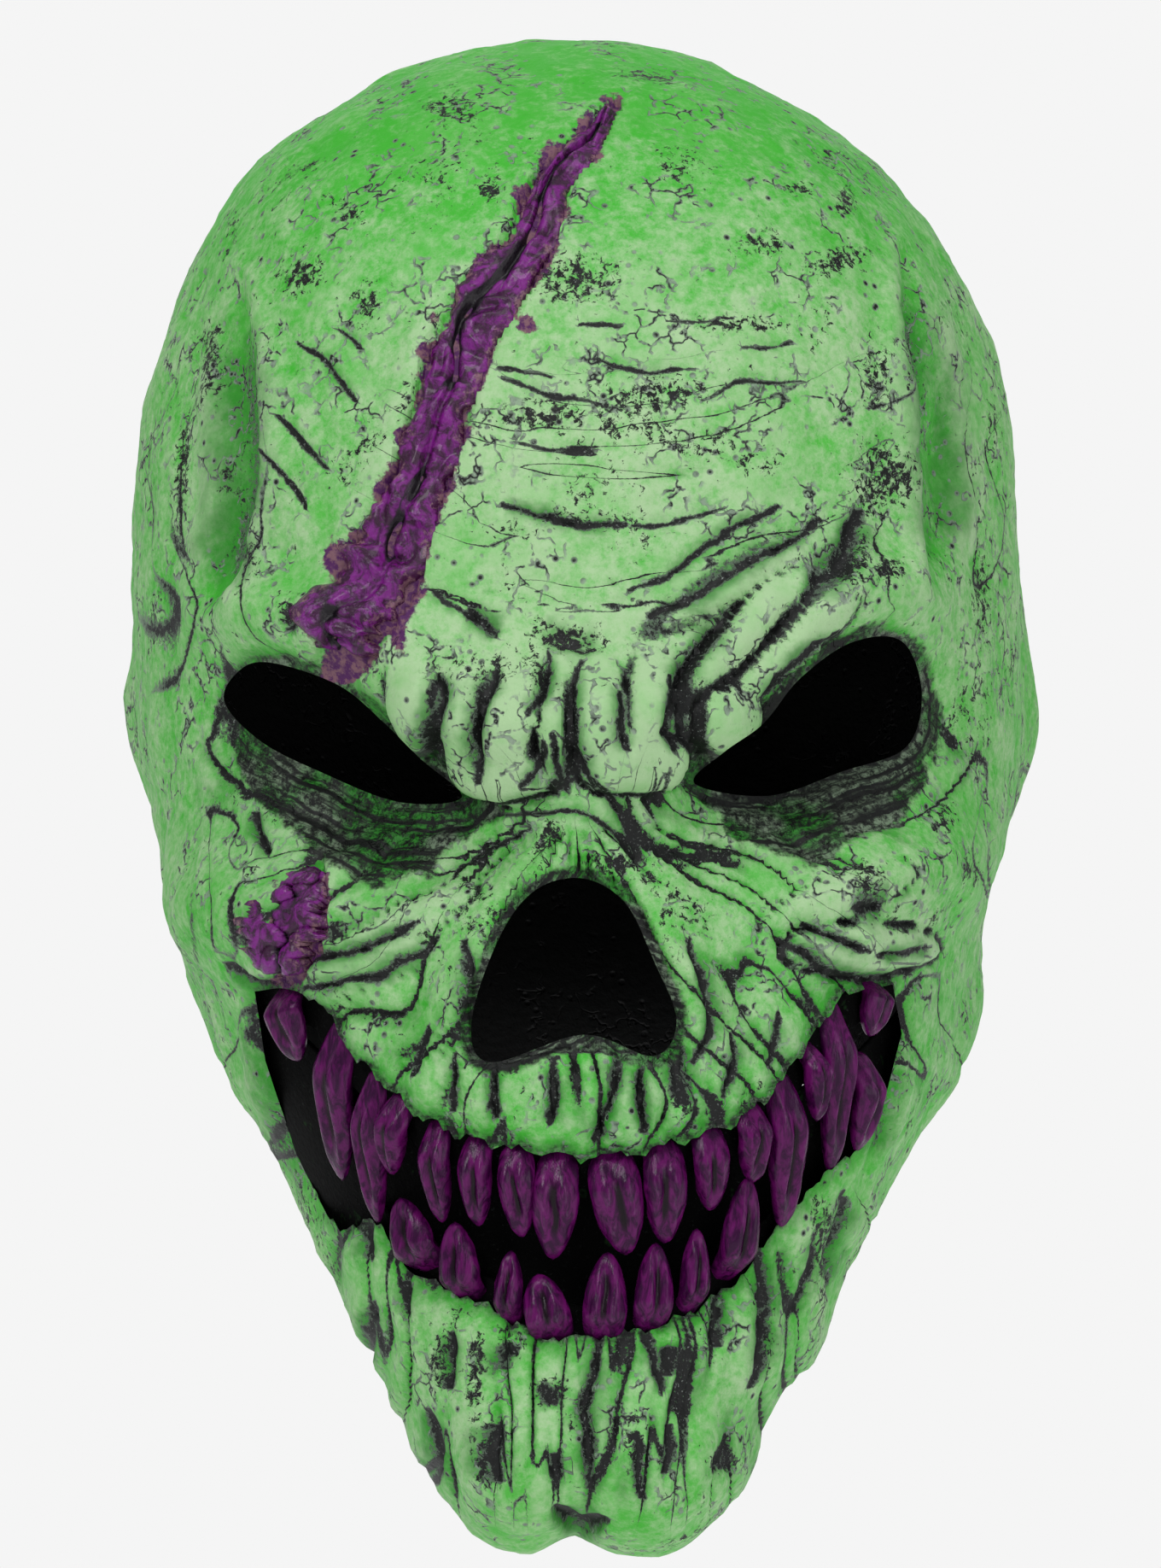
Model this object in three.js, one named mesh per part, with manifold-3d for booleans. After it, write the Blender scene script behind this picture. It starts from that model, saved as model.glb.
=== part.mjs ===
// A latex monster mask that is worn over the whole head.
// Millimetres. X runs to the viewer's right, the face looks along -Y, and Z runs up.
// The origin is the seat on the wearer's crown, at the top of the hollow.

import * as THREE from 'three';
import { mergeVertices } from 'three/addons/utils/BufferGeometryUtils.js';
import Module from 'manifold-3d';

const wasm = await Module();
wasm.setup();

// Driving sizes
const HEAD_WIDTH = 163; // across the ear stumps
const FACE_HEIGHT = 267.5; // crown to chin
const HEAD_DEPTH = 208; // teeth to the back of the head
const WALL = 2.8; // latex skin
const GAP = 0.3; // between pieces that touch
const FORM_RISE = 10; // height that the broad forms are shares of
const FOLD_RISE = 3; // height that the folds are shares of
const SIDE_RISE = 3; // height that the lumps on the sides are shares of
const SQUARENESS = 2.3; // 2 is an ellipse, more is boxier
const GUM_WALL = 3.2; // black band behind each lip
const GUM_SEAT = 8; // how far a gum reaches behind its lip
const GUM_SHOW = 5; // how far a gum shows past its lip
const LINING_WALL = 1.2; // black skin across the mouth, behind the gums
const LINING_SEAT = 3; // how far it reaches behind the lips
const TOOTH_DEPTH = 5; // front to back at a tooth's middle
const TOOTH_SINK = 1.2; // how far a tooth's point leans into the mouth
const GASH_SINK = 1.1; // groove that a gash lies in
const GASH_PROUD = 1.3; // gash above the skin

// Mesh density
const OUTER = { columns: 62, bands: [3, 4, 7, 14, 9, 5] };
const INNER = { columns: 36, bands: [2, 3, 4, 10, 6, 4] };
const BAND_ENDS = [0.02, 0.122, 0.36, 0.62, 0.86, 1];
const MOUTH_SAMPLES = 52;
const EYE_SAMPLES = 24;
const GUM_SAMPLES = 24;
const NECK_SAMPLES = 24;
const TOOTH_SIDES = 7;
const TOOTH_RINGS = 5;
const FRONT_CROWDING = 0.5; // 0 spreads the columns evenly, more crowds them on the face

const HALF_WIDTH = HEAD_WIDTH / 2;
const FRONT_REACH = 1.5 * HEAD_DEPTH; // cutters start well ahead of the face
const FACE_CUT = 0.1 * HEAD_DEPTH; // and end this far ahead of the crown
const MOST_TURN = 0.6; // least share of a tooth's width that shows where the gum curves away

// A tooth's girth at its middle, its gain towards the root and its loss towards both ends
const TOOTH_GIRTH = { middle: 0.9, gain: 0.28, loss: 0.18 };

// Sections of the head. down: share of the face height under the crown. left, right: shares of half the
// width. front: share of the depth ahead of the crown. middle, back: shares of the depth behind it, where
// the section is widest and where it ends.
const SECTIONS = [
  { down: 0, left: 0, right: 0, front: 0, middle: 0, back: 0 },
  { down: 0.006, left: 0.22, right: 0.15, front: 0.087, middle: 0, back: 0.096 },
  { down: 0.02, left: 0.38, right: 0.3, front: 0.159, middle: 0, back: 0.178 },
  { down: 0.048, left: 0.56, right: 0.48, front: 0.24, middle: 0, back: 0.26 },
  { down: 0.082, left: 0.71, right: 0.63, front: 0.303, middle: 0, back: 0.327 },
  { down: 0.122, left: 0.81, right: 0.75, front: 0.356, middle: 0, back: 0.38 },
  { down: 0.173, left: 0.89, right: 0.855, front: 0.399, middle: 0, back: 0.423 },
  { down: 0.252, left: 0.97, right: 0.935, front: 0.438, middle: 0, back: 0.462 },
  { down: 0.343, left: 0.99, right: 0.955, front: 0.464, middle: 0, back: 0.476 },
  { down: 0.422, left: 0.98, right: 0.965, front: 0.481, middle: 0, back: 0.462 },
  { down: 0.479, left: 0.975, right: 0.965, front: 0.481, middle: -0.005, back: 0.438 },
  { down: 0.535, left: 0.93, right: 0.925, front: 0.483, middle: -0.024, back: 0.399 },
  { down: 0.589, left: 0.885, right: 0.875, front: 0.502, middle: -0.04, back: 0.37 },
  { down: 0.643, left: 0.835, right: 0.84, front: 0.517, middle: -0.058, back: 0.341 },
  { down: 0.694, left: 0.77, right: 0.795, front: 0.524, middle: -0.096, back: 0.329 },
  { down: 0.734, left: 0.685, right: 0.725, front: 0.524, middle: -0.135, back: 0.327 },
  { down: 0.773, left: 0.625, right: 0.66, front: 0.514, middle: -0.168, back: 0.322 },
  { down: 0.824, left: 0.548, right: 0.572, front: 0.506, middle: -0.215, back: 0.25 },
  { down: 0.881, left: 0.461, right: 0.496, front: 0.51, middle: -0.269, back: 0.096 },
  { down: 0.915, left: 0.395, right: 0.41, front: 0.514, middle: -0.298, back: 0 },
  { down: 0.943, left: 0.355, right: 0.375, front: 0.514, middle: -0.327, back: -0.096 },
  { down: 0.966, left: 0.29, right: 0.325, front: 0.5, middle: -0.346, back: -0.183 },
  { down: 0.989, left: 0.185, right: 0.22, front: 0.455, middle: -0.361, back: -0.279 },
  { down: 1, left: 0, right: 0, front: 0.365, middle: -0.365, back: -0.365 },
];

// Broad forms, on both faces of the skin. x: share of half the width. down: share of the face height.
// long, wide: half sizes as shares of the width. tilt: degrees, right end up. rise: share of FORM_RISE.
const FORMS = [
  { x: -0.04, down: 0.46, long: 0.2, wide: 0.07, tilt: 0, rise: 0.9 }, // frowning brow
  { x: -0.62, down: 0.392, long: 0.12, wide: 0.04, tilt: -6, rise: 0.55 }, // left brow
  { x: 0.6, down: 0.376, long: 0.1, wide: 0.042, tilt: 8, rise: 0.55 }, // right brow
  { x: -0.5, down: 0.497, long: 0.15, wide: 0.075, tilt: -22, rise: -1.4 }, // left socket
  { x: 0.52, down: 0.486, long: 0.14, wide: 0.078, tilt: 18, rise: -1.4 }, // right socket
  { x: 0, down: 0.54, long: 0.08, wide: 0.06, tilt: 90, rise: 0.45 }, // bridge of the nose
  { x: -0.21, down: 0.622, long: 0.12, wide: 0.04, tilt: 65, rise: 0.5 }, // left rim of the nose
  { x: 0.18, down: 0.615, long: 0.12, wide: 0.04, tilt: -72, rise: 0.5 }, // right rim of the nose
  { x: -0.74, down: 0.588, long: 0.1, wide: 0.065, tilt: -20, rise: 0.75 }, // left cheekbone
  { x: 0.68, down: 0.556, long: 0.1, wide: 0.065, tilt: 20, rise: 0.75 }, // right cheekbone
  { x: 0, down: 0.705, long: 0.27, wide: 0.07, tilt: 0, rise: 0.35 }, // upper lip over the teeth
  { x: -0.15, down: 0.965, long: 0.08, wide: 0.06, tilt: 90, rise: 0.45 }, // left half of the chin
  { x: 0.15, down: 0.968, long: 0.08, wide: 0.065, tilt: 90, rise: 0.5 }, // right half of the chin
  { x: -0.02, down: 0.99, long: 0.05, wide: 0.025, tilt: 90, rise: -0.35 }, // cleft between them
  { x: -0.84, down: 0.29, long: 0.2, wide: 0.055, tilt: 90, rise: -0.5 }, // left temple
  { x: 0.86, down: 0.28, long: 0.2, wide: 0.05, tilt: 90, rise: -0.5 }, // right temple
];

// Lumps on the sides. side: -1 left, 1 right. behind: share of the depth behind the crown. tilt: degrees,
// rear end up. rise: share of SIDE_RISE.
const SIDE_LUMPS = [
  { side: -1, behind: 0.02, down: 0.445, long: 0.09, wide: 0.05, tilt: 90, rise: 0.8 }, // left ear stump
  { side: 1, behind: 0.02, down: 0.448, long: 0.1, wide: 0.05, tilt: 90, rise: 1.1 }, // right ear stump
  { side: 1, behind: -0.08, down: 0.658, long: 0.12, wide: 0.06, tilt: 35, rise: 1.2 }, // hinge of the jaw
  { side: -1, behind: -0.1, down: 0.655, long: 0.12, wide: 0.06, tilt: 35, rise: 0.4 },
];

// Folds, on the outer face alone. The columns are those of the forms, and rise is a share of FOLD_RISE.
const FOLDS = [
  { x: -0.37, down: 0.462, long: 0.05, wide: 0.02, tilt: 70, rise: 0.9 }, // lobes of the brow
  { x: -0.25, down: 0.475, long: 0.06, wide: 0.022, tilt: 100, rise: 1 },
  { x: -0.12, down: 0.458, long: 0.055, wide: 0.02, tilt: 90, rise: 0.8 },
  { x: 0.06, down: 0.455, long: 0.055, wide: 0.022, tilt: 86, rise: 0.8 },
  { x: 0.18, down: 0.46, long: 0.055, wide: 0.02, tilt: 78, rise: 0.8 },
  { x: 0.3, down: 0.455, long: 0.06, wide: 0.024, tilt: 62, rise: 1 },
  { x: -0.32, down: 0.458, long: 0.05, wide: 0.011, tilt: 88, rise: -0.5 }, // creases between them
  { x: -0.18, down: 0.44, long: 0.045, wide: 0.011, tilt: 82, rise: -0.5 },
  { x: -0.03, down: 0.45, long: 0.06, wide: 0.012, tilt: 90, rise: -0.5 },
  { x: 0.12, down: 0.45, long: 0.05, wide: 0.011, tilt: 84, rise: -0.5 },
  { x: 0.24, down: 0.448, long: 0.06, wide: 0.011, tilt: 66, rise: -0.5 },
  { x: -0.06, down: 0.327, long: 0.09, wide: 0.014, tilt: -8, rise: -0.35 }, // furrows of the forehead
  { x: 0.22, down: 0.35, long: 0.09, wide: 0.014, tilt: 20, rise: -0.4 },
  { x: 0.42, down: 0.375, long: 0.1, wide: 0.016, tilt: 42, rise: -0.45 },
  { x: 0.13, down: 0.24, long: 0.08, wide: 0.013, tilt: 2, rise: -0.3 },
  { x: -0.55, down: 0.27, long: 0.06, wide: 0.013, tilt: -50, rise: -0.3 },
  { x: -0.75, down: 0.24, long: 0.13, wide: 0.014, tilt: 92, rise: -0.45 }, // edges of the temples
  { x: 0.75, down: 0.26, long: 0.15, wide: 0.013, tilt: 88, rise: -0.5 },
  { x: -0.23, down: 0.548, long: 0.05, wide: 0.011, tilt: 48, rise: -0.4 }, // strokes beside the nose
  { x: -0.36, down: 0.595, long: 0.06, wide: 0.012, tilt: 34, rise: -0.4 },
  { x: 0.22, down: 0.548, long: 0.05, wide: 0.011, tilt: -48, rise: -0.4 },
  { x: 0.36, down: 0.59, long: 0.065, wide: 0.012, tilt: -34, rise: -0.4 },
  { x: 0.56, down: 0.6, long: 0.08, wide: 0.014, tilt: -8, rise: -0.45 },
];

// Rows of upright furrows. from, to: shares of half the width.
const FURROWS = [
  { from: -0.3, to: 0.34, count: 7, down: 0.702, long: 0.032, wide: 0.012, rise: -0.5 }, // upper lip
  { from: -0.34, to: 0.36, count: 7, down: 0.91, long: 0.09, wide: 0.013, rise: -0.5 }, // chin
];

// Openings, as closed curves through a few points. x: share of half the width. down: share of the height.
const LEFT_EYE = [
  { x: -0.78, down: 0.446 },
  { x: -0.75, down: 0.426 },
  { x: -0.68, down: 0.42 },
  { x: -0.53, down: 0.435 },
  { x: -0.43, down: 0.46 },
  { x: -0.35, down: 0.484 },
  { x: -0.262, down: 0.509 },
  { x: -0.4, down: 0.512 },
  { x: -0.571, down: 0.492 },
  { x: -0.7, down: 0.472 },
];
const RIGHT_EYE = [
  { x: 0.24, down: 0.5 },
  { x: 0.3, down: 0.48 },
  { x: 0.39, down: 0.46 },
  { x: 0.467, down: 0.431 },
  { x: 0.58, down: 0.407 },
  { x: 0.69, down: 0.406 },
  { x: 0.735, down: 0.44 },
  { x: 0.7, down: 0.476 },
  { x: 0.56, down: 0.492 },
  { x: 0.4, down: 0.508 },
];
const NOSE = [
  { x: 0, down: 0.562 },
  { x: 0.09, down: 0.578 },
  { x: 0.15, down: 0.615 },
  { x: 0.2, down: 0.655 },
  { x: 0.15, down: 0.678 },
  { x: 0, down: 0.664 },
  { x: -0.2, down: 0.682 },
  { x: -0.24, down: 0.655 },
  { x: -0.178, down: 0.599 },
  { x: -0.1, down: 0.569 },
];

// Edges of the lips, from left to right. The two tables meet at the corners of the mouth.
const UPPER_LIP = [
  { x: -0.712, down: 0.637 },
  { x: -0.64, down: 0.635 },
  { x: -0.57, down: 0.646 },
  { x: -0.52, down: 0.67 },
  { x: -0.43, down: 0.7 },
  { x: -0.32, down: 0.725 },
  { x: -0.173, down: 0.74 },
  { x: 0.013, down: 0.747 },
  { x: 0.17, down: 0.74 },
  { x: 0.33, down: 0.723 },
  { x: 0.42, down: 0.7 },
  { x: 0.49, down: 0.67 },
  { x: 0.57, down: 0.641 },
  { x: 0.67, down: 0.632 },
];
const LOWER_LIP = [
  { x: -0.69, down: 0.683 },
  { x: -0.62, down: 0.745 },
  { x: -0.535, down: 0.795 },
  { x: -0.452, down: 0.79 },
  { x: -0.377, down: 0.816 },
  { x: -0.2, down: 0.842 },
  { x: -0.09, down: 0.859 },
  { x: 0.05, down: 0.859 },
  { x: 0.19, down: 0.85 },
  { x: 0.32, down: 0.826 },
  { x: 0.43, down: 0.79 },
  { x: 0.52, down: 0.76 },
  { x: 0.625, down: 0.73 },
  { x: 0.69, down: 0.665 },
];

// How far along each lip its gum runs, as shares of half the width.
const UPPER_GUM_SPAN = { from: -0.67, to: 0.66 };
const LOWER_GUM_SPAN = { from: -0.46, to: 0.45 };

// Teeth, as seen from the front. x, wide: shares of half the width, at the middle of the root. foot: the
// lower end, and top: the upper end, shares of the height. lean: how far the point stands to the right.
const UPPER_TEETH = [
  { x: -0.645, top: 0.642, foot: 0.681, wide: 0.075, lean: 0.02 },
  { x: -0.545, top: 0.668, foot: 0.761, wide: 0.069, lean: 0.01 },
  { x: -0.462, top: 0.7, foot: 0.789, wide: 0.054, lean: 0.005 },
  { x: -0.4, top: 0.715, foot: 0.756, wide: 0.055, lean: -0.02 },
  { x: -0.318, top: 0.732, foot: 0.787, wide: 0.059, lean: 0.005 },
  { x: -0.232, top: 0.741, foot: 0.789, wide: 0.067, lean: 0 },
  { x: -0.146, top: 0.745, foot: 0.796, wide: 0.076, lean: 0.01 },
  { x: -0.057, top: 0.75, foot: 0.81, wide: 0.094, lean: -0.01 },
  { x: 0.06, top: 0.75, foot: 0.807, wide: 0.106, lean: 0.035 },
  { x: 0.175, top: 0.744, foot: 0.8, wide: 0.086, lean: 0.005 },
  { x: 0.27, top: 0.735, foot: 0.779, wide: 0.071, lean: 0.01 },
  { x: 0.36, top: 0.72, foot: 0.761, wide: 0.062, lean: 0.012 },
  { x: 0.437, top: 0.702, foot: 0.794, wide: 0.068, lean: 0.005 },
  { x: 0.5, top: 0.68, foot: 0.72, wide: 0.04, lean: 0.005 },
  { x: 0.56, top: 0.652, foot: 0.757, wide: 0.058, lean: -0.015 },
  { x: 0.622, top: 0.69, foot: 0.742, wide: 0.05, lean: -0.02 },
  { x: 0.64, top: 0.637, foot: 0.664, wide: 0.05, lean: -0.01 },
];
const LOWER_TEETH = [
  { x: -0.36, top: 0.775, foot: 0.812, wide: 0.07, lean: -0.045 },
  { x: -0.265, top: 0.79, foot: 0.832, wide: 0.075, lean: -0.02 },
  { x: -0.165, top: 0.808, foot: 0.846, wide: 0.056, lean: 0.005 },
  { x: -0.07, top: 0.823, foot: 0.857, wide: 0.09, lean: -0.03 },
  { x: 0.044, top: 0.809, foot: 0.858, wide: 0.087, lean: 0.01 },
  { x: 0.15, top: 0.803, foot: 0.852, wide: 0.076, lean: 0.01 },
  { x: 0.24, top: 0.794, foot: 0.84, wide: 0.056, lean: 0.01 },
  { x: 0.33, top: 0.761, foot: 0.82, wide: 0.07, lean: 0.03 },
];

// Middle lines of the gashes. wide: share of the width.
const FOREHEAD_GASH = [
  { x: 0.09, down: 0.048, wide: 0.01 },
  { x: 0.013, down: 0.074, wide: 0.022 },
  { x: -0.07, down: 0.105, wide: 0.04 },
  { x: -0.154, down: 0.147, wide: 0.048 },
  { x: -0.284, down: 0.212, wide: 0.058 },
  { x: -0.331, down: 0.258, wide: 0.052 },
  { x: -0.37, down: 0.31, wide: 0.052 },
  { x: -0.41, down: 0.352, wide: 0.066 },
  { x: -0.47, down: 0.385, wide: 0.085 },
  { x: -0.505, down: 0.415, wide: 0.062 },
];
const CHEEK_GASH = [
  { x: -0.575, down: 0.56, wide: 0.02 },
  { x: -0.61, down: 0.581, wide: 0.05 },
  { x: -0.622, down: 0.605, wide: 0.045 },
  { x: -0.63, down: 0.622, wide: 0.03 },
];

// Rim of the neck, as seen from the side. behind: share of the depth behind the crown.
const NECK_RIM = [
  { behind: -0.335, down: 1.04 },
  { behind: -0.27, down: 0.95 },
  { behind: -0.19, down: 0.86 },
  { behind: -0.1, down: 0.785 },
  { behind: 0.02, down: 0.73 },
  { behind: 0.2, down: 0.705 },
  { behind: 0.7, down: 0.7 },
];
const NECK_CUT_FLOOR = 1.2; // the cut ends below the chin, as a share of the height

// Materials
function paint(color, roughness) {
  return new THREE.MeshStandardMaterial({ color, roughness, metalness: 0 });
}
const greenLatex = paint(0x5fc457, 0.55);
const blackLatex = paint(0x0c0c0d, 0.7);
const purpleTooth = paint(0x43164a, 0.3);
const purpleGore = paint(0x4a1058, 0.25);

// Turns a geometry into a solid.
function solidOf(geometry) {
  const bare = geometry.clone();
  bare.deleteAttribute('normal');
  bare.deleteAttribute('uv');
  const merged = mergeVertices(bare, 1e-5);
  return new wasm.Manifold(new wasm.Mesh({
    numProp: 3,
    vertProperties: new Float32Array(merged.attributes.position.array),
    triVerts: new Uint32Array(merged.index.array),
  }));
}

// Turns a solid into a named mesh.
function meshOf(name, solid, material) {
  const { vertProperties, triVerts } = solid.getMesh();
  const geometry = new THREE.BufferGeometry();
  geometry.setAttribute('position', new THREE.BufferAttribute(vertProperties, 3));
  geometry.setIndex(new THREE.BufferAttribute(triVerts, 1));
  geometry.computeVertexNormals();
  const mesh = new THREE.Mesh(geometry, material);
  mesh.name = name;
  return mesh;
}

// Shares to millimetres, and the angle from crown to chin that spaces the sections as on a ball.
const xOf = (share) => share * HALF_WIDTH;
const zOf = (down) => WALL - down * FACE_HEIGHT;
const polarOf = (down) => Math.acos(1 - 2 * down);
const downOf = (polar) => (1 - Math.cos(polar)) / 2;

const COLUMN_NAMES = ['left', 'right', 'front', 'middle', 'back'];
const sections = new THREE.CubicInterpolant(
  SECTIONS.map((row) => polarOf(row.down)),
  SECTIONS.flatMap((row) => COLUMN_NAMES.map((name) => row[name])),
  COLUMN_NAMES.length,
  new Float64Array(COLUMN_NAMES.length),
);

// The head's half sizes at one height.
function sectionAt(polar) {
  const [left, right, front, middle, back] = sections.evaluate(polar);
  const least = 1e-6;
  return {
    left: Math.max(left * HALF_WIDTH, least),
    right: Math.max(right * HALF_WIDTH, least),
    middle: middle * HEAD_DEPTH,
    ahead: Math.max((middle + front) * HEAD_DEPTH, least),
    behind: Math.max((back - middle) * HEAD_DEPTH, least),
  };
}

// A point of the bare head. turn: 0 faces the front, a quarter turn the right.
function headPoint(turn, polar) {
  const section = sectionAt(polar);
  const across = Math.sin(turn) < 0 ? section.left : section.right;
  const along = Math.cos(turn) > 0 ? section.ahead : section.behind;
  const sum = Math.abs(Math.cos(turn) / along) ** SQUARENESS + Math.abs(Math.sin(turn) / across) ** SQUARENESS;
  const radius = sum ** (-1 / SQUARENESS);
  return new THREE.Vector3(
    radius * Math.sin(turn),
    section.middle - radius * Math.cos(turn),
    zOf(downOf(polar)),
  );
}

// The turn at which the front of a section stands at x.
function turnAt(x, polar) {
  const section = sectionAt(polar);
  const across = x < 0 ? section.left : section.right;
  const share = Math.min(Math.abs(x) / across, 0.995);
  const ahead = section.ahead * (1 - share ** SQUARENESS) ** (1 / SQUARENESS);
  return Math.atan2(x, ahead);
}

// The direction that a surface faces, from its neighbours.
function facing(surface, turn, polar) {
  const step = 0.02;
  if (polar < step) return new THREE.Vector3(0, 0, 1);
  if (polar > Math.PI - step) return new THREE.Vector3(0, 0, -1);
  const aside = surface(turn + step, polar).sub(surface(turn - step, polar));
  const below = surface(turn, polar + step).sub(surface(turn, polar - step));
  return below.cross(aside).normalize();
}

// A soft mound, or a dent where its rise is below nought.
function mound(across, up, row) {
  const tilt = THREE.MathUtils.degToRad(row.tilt);
  const along = (across * Math.cos(tilt) + up * Math.sin(tilt)) / (row.long * HEAD_WIDTH);
  const aside = (up * Math.cos(tilt) - across * Math.sin(tilt)) / (row.wide * HEAD_WIDTH);
  return row.rise * Math.exp(-along * along - aside * aside);
}

function relief(rows, point) {
  return rows.reduce((sum, row) => sum + mound(point.x - xOf(row.x), point.z - zOf(row.down), row), 0);
}

function sideRelief(point) {
  const rows = SIDE_LUMPS.filter((row) => point.x * row.side > 0);
  return rows.reduce((sum, row) => {
    return sum + mound(point.y - row.behind * HEAD_DEPTH, point.z - zOf(row.down), row);
  }, 0);
}

// How much of the face's relief a place takes: all on the front and under the chin, none on the sides.
function frontShare(out) {
  return THREE.MathUtils.smoothstep(-out.y + 0.8 * Math.max(-out.z, 0), 0.05, 0.45);
}

// The head with its broad forms, which fade out towards the sides.
function formedPoint(turn, polar) {
  const point = headPoint(turn, polar);
  const out = facing(headPoint, turn, polar);
  const side = THREE.MathUtils.smoothstep(Math.abs(out.x), 0.6, 0.95);
  const height = frontShare(out) * relief(FORMS, point) * FORM_RISE + side * sideRelief(point) * SIDE_RISE;
  return point.addScaledVector(out, height);
}

const furrowFolds = FURROWS.flatMap((row) => Array.from({ length: row.count }, (_, index) => ({
  ...row,
  x: THREE.MathUtils.lerp(row.from, row.to, index / (row.count - 1)),
  tilt: 90,
})));

// The skin's surface at a depth under its outer face. Only the outer face has the folds.
function skinPoint(turn, polar, inward, folded) {
  const point = formedPoint(turn, polar);
  const out = facing(formedPoint, turn, polar);
  const height = folded ? frontShare(out) * relief([...FOLDS, ...furrowFolds], point) * FOLD_RISE : 0;
  return point.addScaledVector(out, height - inward);
}

// The angles of a grid's rows, from crown to chin.
function rowAngles(bands) {
  let start = 0;
  return [0, ...bands.flatMap((count, band) => {
    const from = polarOf(start);
    const to = polarOf(BAND_ENDS[band]);
    start = BAND_ENDS[band];
    return Array.from({ length: count }, (_, index) => THREE.MathUtils.lerp(from, to, (index + 1) / count));
  })];
}

// A closed solid with the head's form, from a ball whose points are moved onto the skin.
function headSolid(density, inward, folded) {
  const angles = rowAngles(density.bands);
  const ball = new THREE.SphereGeometry(1, density.columns, angles.length - 1);
  const { position } = ball.attributes;
  angles.forEach((polar, row) => {
    for (let column = 0; column <= density.columns; column += 1) {
      const even = 2 * Math.PI * ((column % density.columns) / density.columns);
      const turn = even - FRONT_CROWDING * Math.sin(even);
      const point = skinPoint(turn, polar, inward, folded);
      position.setXYZ(row * (density.columns + 1) + column, point.x, point.y, point.z);
    }
  });
  return solidOf(ball);
}

// A closed curve through points, widened by a margin.
function smoothOutline(points, samples, margin) {
  const curve = new THREE.CatmullRomCurve3(points.map((p) => new THREE.Vector3(p.x, p.y, 0)), true);
  const ring = curve.getSpacedPoints(samples).slice(0, samples).map((p) => new THREE.Vector2(p.x, p.y));
  const outward = THREE.ShapeUtils.isClockWise(ring) ? -margin : margin;
  return ring.map((p, index) => {
    const before = ring[(index + samples - 1) % samples];
    const after = ring[(index + 1) % samples];
    const tangent = after.clone().sub(before).normalize();
    return new THREE.Vector2(p.x + tangent.y * outward, p.y - tangent.x * outward);
  });
}

const frontPoints = (rows) => rows.map((row) => new THREE.Vector2(xOf(row.x), zOf(row.down)));

// A prism over an outline on the face, that runs front to back through the skin.
function facePrism(outline) {
  const prism = new THREE.ExtrudeGeometry(new THREE.Shape(outline), {
    depth: FRONT_REACH - FACE_CUT,
    bevelEnabled: false,
  });
  const turned = new THREE.Matrix4().makeBasis(
    new THREE.Vector3(1, 0, 0),
    new THREE.Vector3(0, 0, 1),
    new THREE.Vector3(0, -1, 0),
  );
  prism.applyMatrix4(turned);
  prism.translate(0, -FACE_CUT, 0);
  return solidOf(prism);
}

// A prism through the head from side to side, under the rim of the neck.
function neckPrism() {
  const rim = NECK_RIM.map((row) => new THREE.Vector3(row.behind * HEAD_DEPTH, zOf(row.down), 0));
  const curve = new THREE.CatmullRomCurve3(rim).getSpacedPoints(NECK_SAMPLES);
  const floor = zOf(NECK_CUT_FLOOR);
  const outline = [
    ...curve.map((p) => new THREE.Vector2(p.x, p.y)),
    new THREE.Vector2(rim.at(-1).x, floor),
    new THREE.Vector2(rim[0].x, floor),
  ];
  const prism = new THREE.ExtrudeGeometry(new THREE.Shape(outline), { depth: 2 * HEAD_WIDTH, bevelEnabled: false });
  const turned = new THREE.Matrix4().makeBasis(
    new THREE.Vector3(0, 1, 0),
    new THREE.Vector3(0, 0, 1),
    new THREE.Vector3(1, 0, 0),
  );
  prism.applyMatrix4(turned);
  prism.translate(-HEAD_WIDTH, 0, 0);
  return solidOf(prism);
}

// The outline of a gash, from its middle line and widths.
function gashOutline(rows, margin) {
  const middle = frontPoints(rows);
  const sideOf = (index, side) => {
    const before = middle[Math.max(index - 1, 0)];
    const after = middle[Math.min(index + 1, middle.length - 1)];
    const along = after.clone().sub(before).normalize();
    const reach = side * (rows[index].wide * HALF_WIDTH + margin);
    return new THREE.Vector2(middle[index].x - along.y * reach, middle[index].y + along.x * reach);
  };
  const indices = rows.map((_, index) => index);
  return [...indices.map((index) => sideOf(index, 1)), ...indices.reverse().map((index) => sideOf(index, -1))];
}

// A band along a lip: behind the skin on the lip's side, and showing in the mouth on the other.
function gumOutline(lip, span, behind, show) {
  const edge = new THREE.CatmullRomCurve3(frontPoints(lip).map((p) => new THREE.Vector3(p.x, p.y, 0)));
  const points = edge.getSpacedPoints(GUM_SAMPLES).filter((p) => p.x > xOf(span.from) && p.x < xOf(span.to));
  return [
    ...points.map((p) => new THREE.Vector2(p.x, p.y + behind)),
    ...points.reverse().map((p) => new THREE.Vector2(p.x, p.y + show)),
  ];
}

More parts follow.
